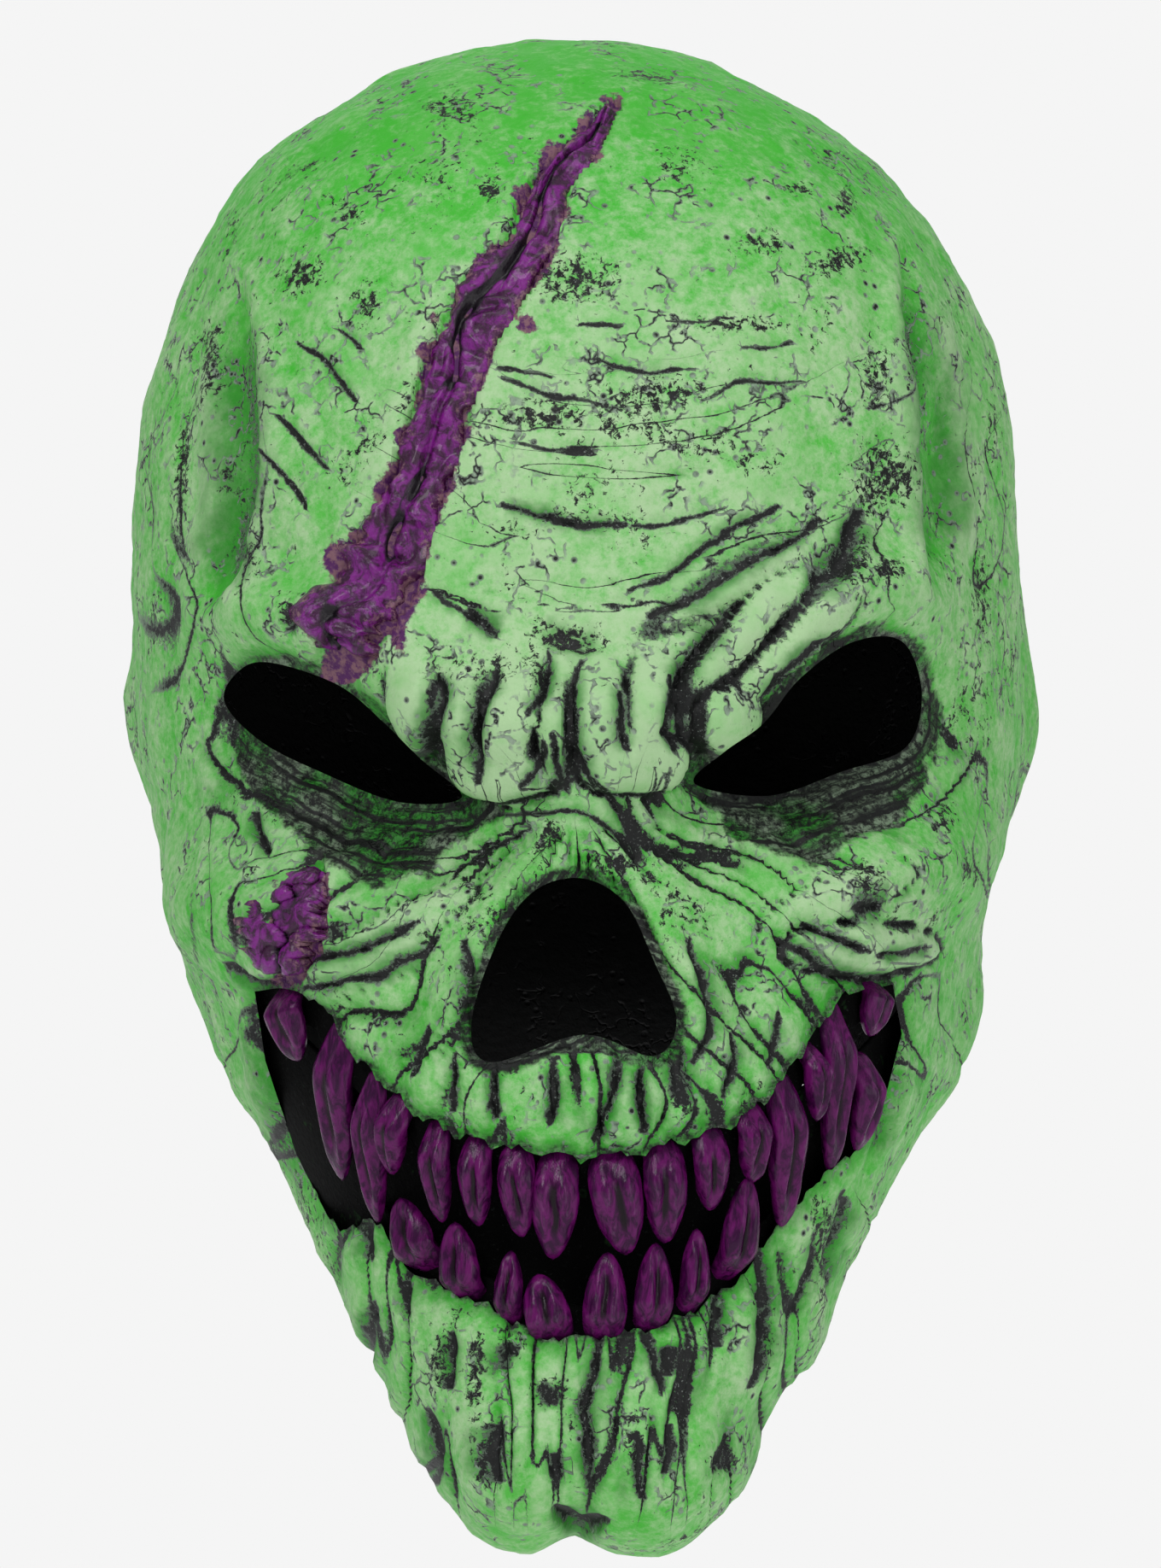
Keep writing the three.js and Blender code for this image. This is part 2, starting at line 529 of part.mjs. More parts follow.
// A tooth: a ball drawn out into a spindle, broad above its middle and pointed at its end.
function toothSolid(row, rootEnd, pointEnd, mouth, seat) {
  const at = (x, down, inward) => {
    const polar = polarOf(down);
    return skinPoint(turnAt(xOf(x), polar), polar, inward, false);
  };
  const depth = WALL - TOOTH_DEPTH / 2;
  const root = at(row.x, row[rootEnd], depth);
  const point = at(row.x + row.lean, row[pointEnd], depth + TOOTH_SINK);
  const polar = polarOf(row[rootEnd]);
  const out = facing(formedPoint, turnAt(xOf(row.x), polar), polar);
  const axis = root.clone().sub(point);
  const length = axis.length();
  axis.normalize();
  const across = axis.clone().cross(out).normalize();
  const forward = across.clone().cross(axis);
  const turnedWidth = (row.wide * HALF_WIDTH) / Math.max(Math.abs(across.x), MOST_TURN);
  const ball = new THREE.SphereGeometry(1, TOOTH_SIDES, TOOTH_RINGS);
  const { position } = ball.attributes;
  for (let index = 0; index < position.count; index += 1) {
    const height = position.getY(index);
    const girth = TOOTH_GIRTH.middle + TOOTH_GIRTH.gain * height - TOOTH_GIRTH.loss * height * height;
    const place = root.clone().addScaledVector(axis, (height - 1) * length / 2);
    place.addScaledVector(across, position.getX(index) * girth * turnedWidth / 2);
    place.addScaledVector(forward, position.getZ(index) * girth * TOOTH_DEPTH / 2);
    position.setXYZ(index, place.x, place.y, place.z);
  }
  return solidOf(ball).intersect(mouth).subtract(seat);
}

// The skin and everything cut from it
const hollow = headSolid(INNER, WALL, false);
const mouthPoints = [...frontPoints(UPPER_LIP), ...frontPoints(LOWER_LIP).reverse()];
const mouthPrism = facePrism(smoothOutline(mouthPoints, MOUTH_SAMPLES, 0));
const openings = [
  facePrism(smoothOutline(mouthPoints, MOUTH_SAMPLES, GAP)),
  facePrism(smoothOutline(frontPoints(LEFT_EYE), EYE_SAMPLES, 0)),
  facePrism(smoothOutline(frontPoints(RIGHT_EYE), EYE_SAMPLES, 0)),
  facePrism(smoothOutline(frontPoints(NOSE), EYE_SAMPLES, 0)),
];

// A gash lies in a groove of the skin. The groove is wider and deeper than the gash by the gap.
const grooveFloor = headSolid(INNER, GASH_SINK + GAP, false);
const gashFloor = headSolid(INNER, GASH_SINK, false);
const gashTop = headSolid(INNER, -GASH_PROUD, false);
const groove = (rows) => facePrism(gashOutline(rows, GAP)).subtract(grooveFloor);
const gash = (rows) => facePrism(gashOutline(rows, 0)).intersect(gashTop).subtract(gashFloor);

const skin = [...openings, neckPrism(), groove(FOREHEAD_GASH), groove(CHEEK_GASH)].reduce(
  (rest, cutter) => rest.subtract(cutter),
  headSolid(OUTER, 0, true).subtract(hollow),
);

// The gums lie against the inside of the skin, and the teeth against the gums.
const gumFront = headSolid(INNER, WALL + GAP, false);
const gumBack = headSolid(INNER, WALL + GAP + GUM_WALL, false);
const upperBand = facePrism(gumOutline(UPPER_LIP, UPPER_GUM_SPAN, GUM_SEAT, -GUM_SHOW));
const lowerBand = facePrism(gumOutline(LOWER_LIP, LOWER_GUM_SPAN, -GUM_SEAT, GUM_SHOW));
const gum = (band) => band.intersect(gumFront).subtract(gumBack);

// The lining lies against the backs of the gums and closes the mouth.
const LINING_DEPTH = WALL + GUM_WALL + 2 * GAP;
const lining = facePrism(smoothOutline(mouthPoints, MOUTH_SAMPLES / 2, LINING_SEAT))
  .intersect(headSolid(INNER, LINING_DEPTH, false))
  .subtract(headSolid(INNER, LINING_DEPTH + LINING_WALL, false));

const mask = new THREE.Group();
mask.add(meshOf('mask_shell', skin, greenLatex));
mask.add(meshOf('upper_gum', gum(upperBand), blackLatex));
mask.add(meshOf('lower_gum', gum(lowerBand), blackLatex));
mask.add(meshOf('mouth_lining', lining, blackLatex));
mask.add(meshOf('forehead_gash', gash(FOREHEAD_GASH), purpleGore));
mask.add(meshOf('cheek_gash', gash(CHEEK_GASH), purpleGore));
UPPER_TEETH.forEach((row, index) => {
  const tooth = toothSolid(row, 'top', 'foot', mouthPrism, hollow);
  mask.add(meshOf(`upper_tooth_${index + 1}`, tooth, purpleTooth));
});
LOWER_TEETH.forEach((row, index) => {
  const tooth = toothSolid(row, 'foot', 'top', mouthPrism, hollow);
  mask.add(meshOf(`lower_tooth_${index + 1}`, tooth, purpleTooth));
});

export default mask;
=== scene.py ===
# %% [markdown]
# # A latex monster mask
# The mask covers the whole head: a rotten green face with open eyes and nose, a grin of long purple teeth
# and two glossy wounds. It is cast in latex, painted black and then dry-brushed in green, so every crease
# stays black. This lesson opens the solid model, which keeps the sizes, and dresses it piece by piece.

# %% Open the solid model
import math
import bpy
import numpy as np
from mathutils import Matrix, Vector
from mathutils.kdtree import KDTree


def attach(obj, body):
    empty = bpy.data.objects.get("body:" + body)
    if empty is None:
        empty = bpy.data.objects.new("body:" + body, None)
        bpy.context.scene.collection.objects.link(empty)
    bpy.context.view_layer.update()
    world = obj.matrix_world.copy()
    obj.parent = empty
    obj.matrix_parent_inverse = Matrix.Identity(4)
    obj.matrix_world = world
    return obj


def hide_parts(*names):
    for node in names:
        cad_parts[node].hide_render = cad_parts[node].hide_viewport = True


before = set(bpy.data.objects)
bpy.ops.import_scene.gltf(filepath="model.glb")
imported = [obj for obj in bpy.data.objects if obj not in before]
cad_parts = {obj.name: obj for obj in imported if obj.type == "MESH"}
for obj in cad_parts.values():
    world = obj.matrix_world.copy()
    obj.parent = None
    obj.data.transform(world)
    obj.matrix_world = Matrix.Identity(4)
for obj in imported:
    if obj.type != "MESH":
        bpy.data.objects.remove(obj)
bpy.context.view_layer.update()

# %% [markdown]
# ## Camera, light and floor
# The mask is seen square on from far away, so a long lens keeps its sides from bulging. The studio is
# bright and even: a big lamp in front on the left, a weaker one on the right and one overhead.
# The sky is white where the camera sees it and dimmer as a light, so the black creases stay black.

# %% Camera
bpy.ops.object.select_all(action="DESELECT")
VIEW_CENTRE = (-0.0005, -0.131)
CAMERA_AWAY = 4.0
FACE_AWAY = 3.95
SEEN_HEIGHT = 0.2782
SENSOR = 36
bpy.ops.object.camera_add(location=(VIEW_CENTRE[0], -CAMERA_AWAY, VIEW_CENTRE[1]),
                          rotation=(math.radians(90), 0, 0))
camera = bpy.context.object
camera.data.sensor_width = SENSOR
camera.data.lens = SENSOR * FACE_AWAY / SEEN_HEIGHT
camera.data.clip_end = 60
bpy.context.scene.camera = camera
print("lens", round(camera.data.lens), "mm")


# %% Lamps
FACE_MIDDLE = (0, 0, -0.13)


def soft_lamp(name, place, size, power):
    bpy.ops.object.light_add(type="AREA", location=place)
    lamp = bpy.context.object
    lamp.name = name
    lamp.data.size = size
    lamp.data.energy = power
    aim = Vector(FACE_MIDDLE) - lamp.location
    lamp.rotation_euler = aim.to_track_quat("-Z", "Y").to_euler()
    print(name, power, "W")


soft_lamp("key_lamp", (-0.8, -1.5, 1.1), 0.7, 14)
soft_lamp("fill_lamp", (1.3, -1.5, 0.1), 1.2, 7)
soft_lamp("top_lamp", (0.1, -0.5, 1.4), 0.8, 6.5)
soft_lamp("back_lamp", (0.0, 1.8, 0.4), 1.4, 8)

# %% Sky and floor
FLOOR_HEIGHT = -0.42
sky = bpy.data.worlds.new("studio_sky")
bpy.context.scene.world = sky
sky.use_nodes = True
sky_nodes = sky.node_tree.nodes
sky_nodes["Background"].inputs["Color"].default_value = (0.95, 0.97, 1.0, 1)
sky_nodes["Background"].inputs["Strength"].default_value = 0.38
backdrop = sky_nodes.new("ShaderNodeBackground")
backdrop.inputs["Color"].default_value = (0.913, 0.913, 0.913, 1)
ray = sky_nodes.new("ShaderNodeLightPath")
either = sky_nodes.new("ShaderNodeMixShader")
sky.node_tree.links.new(ray.outputs["Is Camera Ray"], either.inputs[0])
sky.node_tree.links.new(sky_nodes["Background"].outputs[0], either.inputs[1])
sky.node_tree.links.new(backdrop.outputs[0], either.inputs[2])
sky.node_tree.links.new(either.outputs[0], sky_nodes["World Output"].inputs["Surface"])

bpy.ops.mesh.primitive_circle_add(vertices=96, radius=3.2, fill_type="NGON", location=(0, 0, FLOOR_HEIGHT))
floor = bpy.context.object
floor.name = "studio_floor"
bpy.ops.object.transform_apply(location=True)
bpy.context.scene.view_settings.view_transform = "Standard"
print("floor at", FLOOR_HEIGHT)

# %% [markdown]
# ## The head's form
# The solid model shapes the head from a short table of sections, broad forms and side lumps. The same
# tables are used here, so the dressed skin lies exactly where the solid skin lies. Numpy works on all the
# points of a ball at once, which is far quicker than one point at a time.

# %% Named sizes, in metres
HEAD_WIDTH = 0.163
FACE_HEIGHT = 0.2675
HEAD_DEPTH = 0.208
WALL = 0.0028
FORM_RISE = 0.010
SIDE_RISE = 0.003
SQUARENESS = 2.3
TOOTH_DEPTH = 0.005
TOOTH_SINK = 0.0012
TOOTH_TUCK = 0.0026
GORE_WALL = 0.0007
HALF_WIDTH = HEAD_WIDTH / 2
PIXEL = 0.001 / 6.6
MIDDLE_COLUMN = 683
CROWN_ROW = 35


def on_face(column, row):
    return (column - MIDDLE_COLUMN) * PIXEL, WALL - (row - CROWN_ROW) * PIXEL


# %% Sections of the head: down, left, right, front, middle, back
SECTIONS = np.array([
    (0, 0, 0, 0, 0, 0),
    (0.006, 0.22, 0.15, 0.087, 0, 0.096),
    (0.02, 0.38, 0.3, 0.159, 0, 0.178),
    (0.048, 0.56, 0.48, 0.24, 0, 0.26),
    (0.082, 0.71, 0.63, 0.303, 0, 0.327),
    (0.122, 0.81, 0.75, 0.356, 0, 0.38),
    (0.173, 0.89, 0.855, 0.399, 0, 0.423),
    (0.252, 0.97, 0.935, 0.438, 0, 0.462),
    (0.343, 0.99, 0.955, 0.464, 0, 0.476),
    (0.422, 0.98, 0.965, 0.481, 0, 0.462),
    (0.479, 0.975, 0.965, 0.481, -0.005, 0.438),
    (0.535, 0.93, 0.925, 0.483, -0.024, 0.399),
    (0.589, 0.885, 0.875, 0.502, -0.04, 0.37),
    (0.643, 0.835, 0.84, 0.517, -0.058, 0.341),
    (0.694, 0.77, 0.795, 0.524, -0.096, 0.329),
    (0.734, 0.685, 0.725, 0.524, -0.135, 0.327),
    (0.773, 0.625, 0.66, 0.514, -0.168, 0.322),
    (0.824, 0.548, 0.572, 0.506, -0.215, 0.25),
    (0.881, 0.461, 0.496, 0.51, -0.269, 0.096),
    (0.915, 0.395, 0.41, 0.514, -0.298, 0),
    (0.943, 0.355, 0.375, 0.514, -0.327, -0.096),
    (0.966, 0.29, 0.325, 0.5, -0.346, -0.183),
    (0.989, 0.185, 0.22, 0.455, -0.361, -0.279),
    (1, 0, 0, 0.365, -0.365, -0.365),
])
section_polar = np.arccos(1 - 2 * SECTIONS[:, 0])
section_slopes = np.diff(SECTIONS[:, 1:], axis=0) / np.diff(section_polar)[:, None]
section_tangents = np.vstack([
    section_slopes[:1],
    (section_slopes[1:] + section_slopes[:-1]) / 2,
    section_slopes[-1:],
])


def section_at(polar):
    i = np.clip(np.searchsorted(section_polar, polar, side="right") - 1, 0, len(section_polar) - 2)
    step = section_polar[i + 1] - section_polar[i]
    p = (polar - section_polar[i]) / step
    near, far = SECTIONS[i, 1:].T, SECTIONS[i + 1, 1:].T
    rise, fall = section_tangents[i].T * step, section_tangents[i + 1].T * step
    sizes = (2 * p**3 - 3 * p**2 + 1) * near + (p**3 - 2 * p**2 + p) * rise
    sizes = sizes + (3 * p**2 - 2 * p**3) * far + (p**3 - p**2) * fall
    left, right, front, middle, back = sizes
    return (
        np.maximum(left * HALF_WIDTH, 1e-9),
        np.maximum(right * HALF_WIDTH, 1e-9),
        middle * HEAD_DEPTH,
        np.maximum((middle + front) * HEAD_DEPTH, 1e-9),
        np.maximum((back - middle) * HEAD_DEPTH, 1e-9),
    )


# %% Broad forms: x, down, long, wide, tilt, rise
FORMS = [
    (-0.04, 0.46, 0.2, 0.07, 0, 0.9),
    (-0.62, 0.392, 0.12, 0.04, -6, 0.55),
    (0.6, 0.376, 0.1, 0.042, 8, 0.55),
    (-0.5, 0.497, 0.15, 0.075, -22, -1.4),
    (0.52, 0.486, 0.14, 0.078, 18, -1.4),
    (0, 0.54, 0.08, 0.06, 90, 0.45),
    (-0.21, 0.622, 0.12, 0.04, 65, 0.5),
    (0.18, 0.615, 0.12, 0.04, -72, 0.5),
    (-0.74, 0.588, 0.1, 0.065, -20, 0.75),
    (0.68, 0.556, 0.1, 0.065, 20, 0.75),
    (0, 0.705, 0.27, 0.07, 0, 0.35),
    (-0.15, 0.965, 0.08, 0.06, 90, 0.45),
    (0.15, 0.968, 0.08, 0.065, 90, 0.5),
    (-0.02, 0.99, 0.05, 0.025, 90, -0.35),
    (-0.84, 0.29, 0.2, 0.055, 90, -0.5),
    (0.86, 0.28, 0.2, 0.05, 90, -0.5),
]
# side, behind, down, long, wide, tilt, rise
SIDE_LUMPS = [
    (-1, 0.02, 0.445, 0.09, 0.05, 90, 0.8),
    (1, 0.02, 0.448, 0.1, 0.05, 90, 1.1),
    (1, -0.08, 0.658, 0.12, 0.06, 35, 1.2),
    (-1, -0.1, 0.655, 0.12, 0.06, 35, 0.4),
]


def smooth(value, low, high):
    share = np.clip((value - low) / (high - low), 0, 1)
    return share * share * (3 - 2 * share)


def mound(across, up, long, wide, tilt, rise):
    turn = math.radians(tilt)
    along = (across * math.cos(turn) + up * math.sin(turn)) / (long * HEAD_WIDTH)
    aside = (up * math.cos(turn) - across * math.sin(turn)) / (wide * HEAD_WIDTH)
    return rise * np.exp(-along**2 - aside**2)


# %% Points of the bare head and of the head with its forms
def head_point(turn, polar):
    left, right, middle, ahead, behind = section_at(polar)
    across = np.where(np.sin(turn) < 0, left, right)
    along = np.where(np.cos(turn) > 0, ahead, behind)
    total = np.abs(np.cos(turn) / along) ** SQUARENESS + np.abs(np.sin(turn) / across) ** SQUARENESS
    reach = total ** (-1 / SQUARENESS)
    height = WALL - (1 - np.cos(polar)) / 2 * FACE_HEIGHT
    return np.stack([reach * np.sin(turn), middle - reach * np.cos(turn), height], axis=-1)


def facing(surface, turn, polar):
    step = 0.02
    inner = np.clip(polar, step, math.pi - step)
    aside = surface(turn + step, inner) - surface(turn - step, inner)
    below = surface(turn, inner + step) - surface(turn, inner - step)
    out = np.cross(below, aside)
    return out / np.linalg.norm(out, axis=-1, keepdims=True)


def front_share(out):
    return smooth(-out[..., 1] + 0.8 * np.maximum(-out[..., 2], 0), 0.05, 0.45)


def formed_point(turn, polar):
    point = head_point(turn, polar)
    out = facing(head_point, turn, polar)
    x, y, z = point[..., 0], point[..., 1], point[..., 2]
    front = sum(mound(x - fx * HALF_WIDTH, z - WALL + down * FACE_HEIGHT, *rest) for fx, down, *rest in FORMS)
    side = 0
    for where, behind, down, *rest in SIDE_LUMPS:
        lump = mound(y - behind * HEAD_DEPTH, z - WALL + down * FACE_HEIGHT, *rest)
        side = side + np.where(x * where > 0, lump, 0)
    height = front_share(out) * front * FORM_RISE + smooth(np.abs(out[..., 0]), 0.6, 0.95) * side * SIDE_RISE
    return point + out * height[..., None]


def angles_at(x, z):
    polar = np.arccos(np.clip(1 - 2 * (WALL - z) / FACE_HEIGHT, -1, 1))
    left, right, middle, ahead, behind = section_at(polar)
    share = np.minimum(np.abs(x) / np.where(x < 0, left, right), 0.995)
    forward = ahead * (1 - share**SQUARENESS) ** (1 / SQUARENESS)
    return np.arctan2(x, forward), polar


def skin_point(x, z, inward=0.0):
    turn, polar = angles_at(np.asarray(x, float), np.asarray(z, float))
    return formed_point(turn, polar) - facing(formed_point, turn, polar) * np.asarray(inward)[..., None]


print("brow stands at", np.round(skin_point(0.0, WALL - 0.46 * FACE_HEIGHT), 4))


# %% [markdown]
# ## Openings
# The eyes, the nose and the mouth are holes with thin edges. Each is a closed curve through a few points,
# drawn on the face from the front. The lips are drawn finer than in the solid model: their edge bends up
# round the root of each tooth and hangs down between the teeth.

# %% Curves through points
def smooth_path(points, samples, closed=False):
    points = np.asarray(points, float)
    padded = np.vstack([points[-1:], points, points[:2]]) if closed else np.vstack([
        2 * points[:1] - points[1:2], points, 2 * points[-1:] - points[-2:-1]])
    count = len(points) if closed else len(points) - 1
    place = np.arange(samples) / samples * count if closed else np.linspace(0, count, samples)
    i = np.minimum(place.astype(int), count - 1)
    t = (place - i)[:, None]
    a, b, c, d = (padded[i + k] for k in range(4))
    return 0.5 * (2 * b + (c - a) * t + (2 * a - 5 * b + 4 * c - d) * t**2 + (3 * b - a - 3 * c + d) * t**3)


def from_shares(rows):
    return np.array([(x * HALF_WIDTH, WALL - down * FACE_HEIGHT) for x, down in rows])


LEFT_EYE = from_shares([(-0.78, 0.446), (-0.75, 0.426), (-0.68, 0.42), (-0.53, 0.435), (-0.43, 0.46),
                        (-0.35, 0.484), (-0.262, 0.509), (-0.4, 0.512), (-0.571, 0.492), (-0.7, 0.472)])
RIGHT_EYE = from_shares([(0.24, 0.5), (0.3, 0.48), (0.39, 0.46), (0.467, 0.431), (0.58, 0.407),
                         (0.69, 0.406), (0.735, 0.44), (0.7, 0.476), (0.56, 0.492), (0.4, 0.508)])
NOSE = from_shares([(0, 0.562), (0.09, 0.578), (0.15, 0.615), (0.2, 0.655), (0.15, 0.678),
                    (0, 0.664), (-0.2, 0.682), (-0.24, 0.655), (-0.178, 0.599), (-0.1, 0.569)])
UPPER_LIP = from_shares([(-0.712, 0.637), (-0.64, 0.635), (-0.57, 0.646), (-0.52, 0.67), (-0.43, 0.7),
                         (-0.32, 0.725), (-0.173, 0.74), (0.013, 0.747), (0.17, 0.74), (0.33, 0.723),
                         (0.42, 0.7), (0.49, 0.67), (0.57, 0.641), (0.67, 0.632)])
LOWER_LIP = from_shares([(-0.69, 0.683), (-0.62, 0.745), (-0.535, 0.795), (-0.452, 0.79), (-0.377, 0.816),
                         (-0.2, 0.842), (-0.09, 0.859), (0.05, 0.859), (0.19, 0.85), (0.32, 0.826),
                         (0.43, 0.79), (0.52, 0.76), (0.625, 0.73), (0.69, 0.665)])

# %% Teeth: x, top, foot, wide, lean
UPPER_TEETH = [
    (-0.645, 0.642, 0.681, 0.075, 0.02), (-0.545, 0.668, 0.761, 0.069, 0.01),
    (-0.462, 0.7, 0.789, 0.054, 0.005), (-0.4, 0.715, 0.756, 0.055, -0.02),
    (-0.318, 0.732, 0.787, 0.059, 0.005), (-0.232, 0.741, 0.789, 0.067, 0),
    (-0.146, 0.745, 0.796, 0.076, 0.01), (-0.057, 0.75, 0.81, 0.094, -0.01),
    (0.06, 0.75, 0.807, 0.106, 0.035), (0.175, 0.744, 0.8, 0.086, 0.005),
    (0.27, 0.735, 0.779, 0.071, 0.01), (0.36, 0.72, 0.761, 0.062, 0.012),
    (0.437, 0.702, 0.794, 0.068, 0.005), (0.5, 0.68, 0.72, 0.04, 0.005),
    (0.56, 0.652, 0.757, 0.058, -0.015), (0.622, 0.69, 0.742, 0.05, -0.02),
    (0.64, 0.637, 0.664, 0.05, -0.01),
]
LOWER_TEETH = [
    (-0.36, 0.775, 0.812, 0.07, -0.045), (-0.265, 0.79, 0.832, 0.075, -0.02),
    (-0.165, 0.808, 0.846, 0.056, 0.005), (-0.07, 0.823, 0.857, 0.09, -0.03),
    (0.044, 0.809, 0.858, 0.087, 0.01), (0.15, 0.803, 0.852, 0.076, 0.01),
    (0.24, 0.794, 0.84, 0.056, 0.01), (0.33, 0.761, 0.82, 0.07, 0.03),
]


def draped(lip, teeth, lift):
    edge = smooth_path(lip, 150)
    near = np.zeros(len(edge))
    for x, _, _, wide, _ in teeth:
        near = np.maximum(near, np.exp(-((edge[:, 0] - x * HALF_WIDTH) / (0.62 * wide * HALF_WIDTH)) ** 2))
    middle = smooth(0.052 - np.abs(edge[:, 0]), 0, 0.008)
    ragged = 0.0004 * np.sin(edge[:, 0] * 2100) + 0.0003 * np.sin(edge[:, 0] * 3700 + 1)
    edge[:, 1] += middle * (lift * (near - 0.45) + ragged)
    return edge


upper_edge = draped(UPPER_LIP, UPPER_TEETH, 0.0026)
lower_edge = draped(LOWER_LIP, LOWER_TEETH, -0.0018)
MOUTH = np.vstack([upper_edge, lower_edge[::-1]])
OPENINGS = {
    "mouth": MOUTH,
    "left_eye": smooth_path(LEFT_EYE, 90, closed=True),
    "right_eye": smooth_path(RIGHT_EYE, 90, closed=True),
    "nose": smooth_path(NOSE, 90, closed=True),
}
print({name: len(path) for name, path in OPENINGS.items()})


# %% [markdown]
# ## The carving of the face
# The sculptor built the face from strips of clay and dragged tools through it. Four kinds of marks make
# it: rounded lobes on the brow, single creases drawn by hand, wrinkles that flow round the nose, the
# eyes, the forehead and the chin, and soft lumps all over. Each kind is a height over the skin, and where
# a mark is deep its place is remembered, because the black undercoat stays visible there.

# %% Noise and distances
MIXERS = (374761393, 668265263, 2147483647)
SEED_MIXER = 974634777
LAST_MIXER = 1274126177


def grain(a, b, seed, c=None):
    c = np.zeros_like(a) if c is None else c
    cells = [np.floor(v).astype(np.int64) for v in (a, b, c)]
    parts = [v - cell for v, cell in zip((a, b, c), cells)]
    parts = [p * p * (3 - 2 * p) for p in parts]
    total = np.zeros_like(a)
    for corner in range(8):
        bits = [(corner >> k) & 1 for k in range(3)]
        mixed = sum((cell + bit) * mixer for cell, bit, mixer in zip(cells, bits, MIXERS))
        mixed = (mixed + seed * SEED_MIXER) & 0xFFFFFFFF
        mixed = ((mixed ^ (mixed >> 13)) * LAST_MIXER) & 0xFFFFFFFF
        value = ((mixed ^ (mixed >> 16)) & 0xFFFF) / 65535
        weight = np.ones_like(a)
        for bit, part in zip(bits, parts):
            weight = weight * (part if bit else 1 - part)
        total += value * weight
    return total


def distance_to(path, x, z, closed=False):
    ends = np.vstack([path, path[:1]]) if closed else path
    nearest = np.full(x.shape, 1.0)
    share = np.zeros(x.shape)
    side = np.ones(x.shape)
    count = len(ends) - 1
    for k in range(count):
        (x0, z0), (x1, z1) = ends[k], ends[k + 1]
        dx, dz = x1 - x0, z1 - z0
        t = np.clip(((x - x0) * dx + (z - z0) * dz) / max(dx * dx + dz * dz, 1e-12), 0, 1)
        gap = np.hypot(x - x0 - t * dx, z - z0 - t * dz)
        closer = gap < nearest
        nearest = np.where(closer, gap, nearest)
        share = np.where(closer, (k + t) / count, share)
        side = np.where(closer, np.where((x - x0) * dz > (z - z0) * dx, 1.0, -1.0), side)
    return nearest, share, side


def inside_of(path, x, z):
    inside = np.zeros(x.shape, bool)
    for (x0, z0), (x1, z1) in zip(path, np.roll(path, -1, axis=0)):
        crosses = (z0 > z) != (z1 > z)
        inside ^= crosses & (x < x0 + (z - z0) / (z1 - z0 + 1e-12) * (x1 - x0))
    return inside


# %% Lobes and rolls: column, row, half width, half height, tilt to the right, rise in mm, share of their top
LOBES = {
    "left hanging lobe": (486, 822, 31, 76, -8, 2.8, 0.1),
    "second lobe": (541, 845, 28, 88, -4, 2.4, 0.1),
    "third lobe": (600, 840, 35, 90, 4, 2.6, 0.1),
    "narrow middle lobe": (652, 848, 20, 84, 0, 1.8, 0.2),
    "round right lobe": (700, 832, 36, 72, -6, 2.8, 0.2),
    "lobe under the right brow": (757, 815, 30, 84, 12, 2.6, 0.1),
    "lower left roll": (590, 905, 60, 32, 6, 2.8, 1.0),
    "lower right roll": (745, 893, 68, 38, -6, 3.0, 1.0),
    "right hanging lobe": (851, 842, 37, 56, 14, 3.2, 0.4),
    "inner right fold": (868, 742, 25, 115, 42, 2.4, 0.3),
    "outer right fold": (930, 752, 27, 125, 48, 2.6, 0.3),
    "upper right fold": (880, 672, 22, 135, 60, 1.3, 0.6),
    "bridge ring": (671, 952, 66, 24, 0, 0.6, 1.0),
    "right cheek roll": (1010, 1108, 98, 34, -2, 2.4, 1.0),
    "right cheek upper roll": (980, 1050, 96, 26, -20, 1.5, 1.0),
    "left cheek roll": (460, 1092, 110, 26, -28, 1.5, 1.0),
    "left cheek lower roll": (430, 1140, 90, 22, -24, 1.2, 1.0),
}


def lobes_on(x, z):
    height, seam = np.zeros_like(x), np.zeros_like(x)
    drift = 0.0016 * (grain(x * 130, z * 130, 6) - 0.5)
    for column, row, half_width, half_height, tilt, rise, top in LOBES.values():
        cx, cz = on_face(column, row)
        turn = math.radians(tilt)
        across = ((x - cx + drift) * math.cos(turn) - (z - cz) * math.sin(turn)) / (half_width * PIXEL)
        up = ((x - cx) * math.sin(turn) + (z - cz + drift) * math.cos(turn)) / (half_height * PIXEL)
        reach = np.maximum(np.sqrt(across**2 + up**2) + 0.16 * (grain(x * 260, z * 260, 5) - 0.5), 0)
        fade = top + (1 - top) * smooth(0.9 - up, 0, 1.1)
        lobe = 1.35 * rise * np.clip(1 - reach**2.4, 0, 1) ** 0.6 * fade
        edge = np.exp(-(((reach - 1.0) * half_width * PIXEL) / 0.0009) ** 2) * fade * min(rise / 2.6, 1)
        seam = np.where(lobe > height, edge, np.maximum(seam, edge * (height < 0.6 * rise)))
        height = np.maximum(height, lobe)
    return height, seam


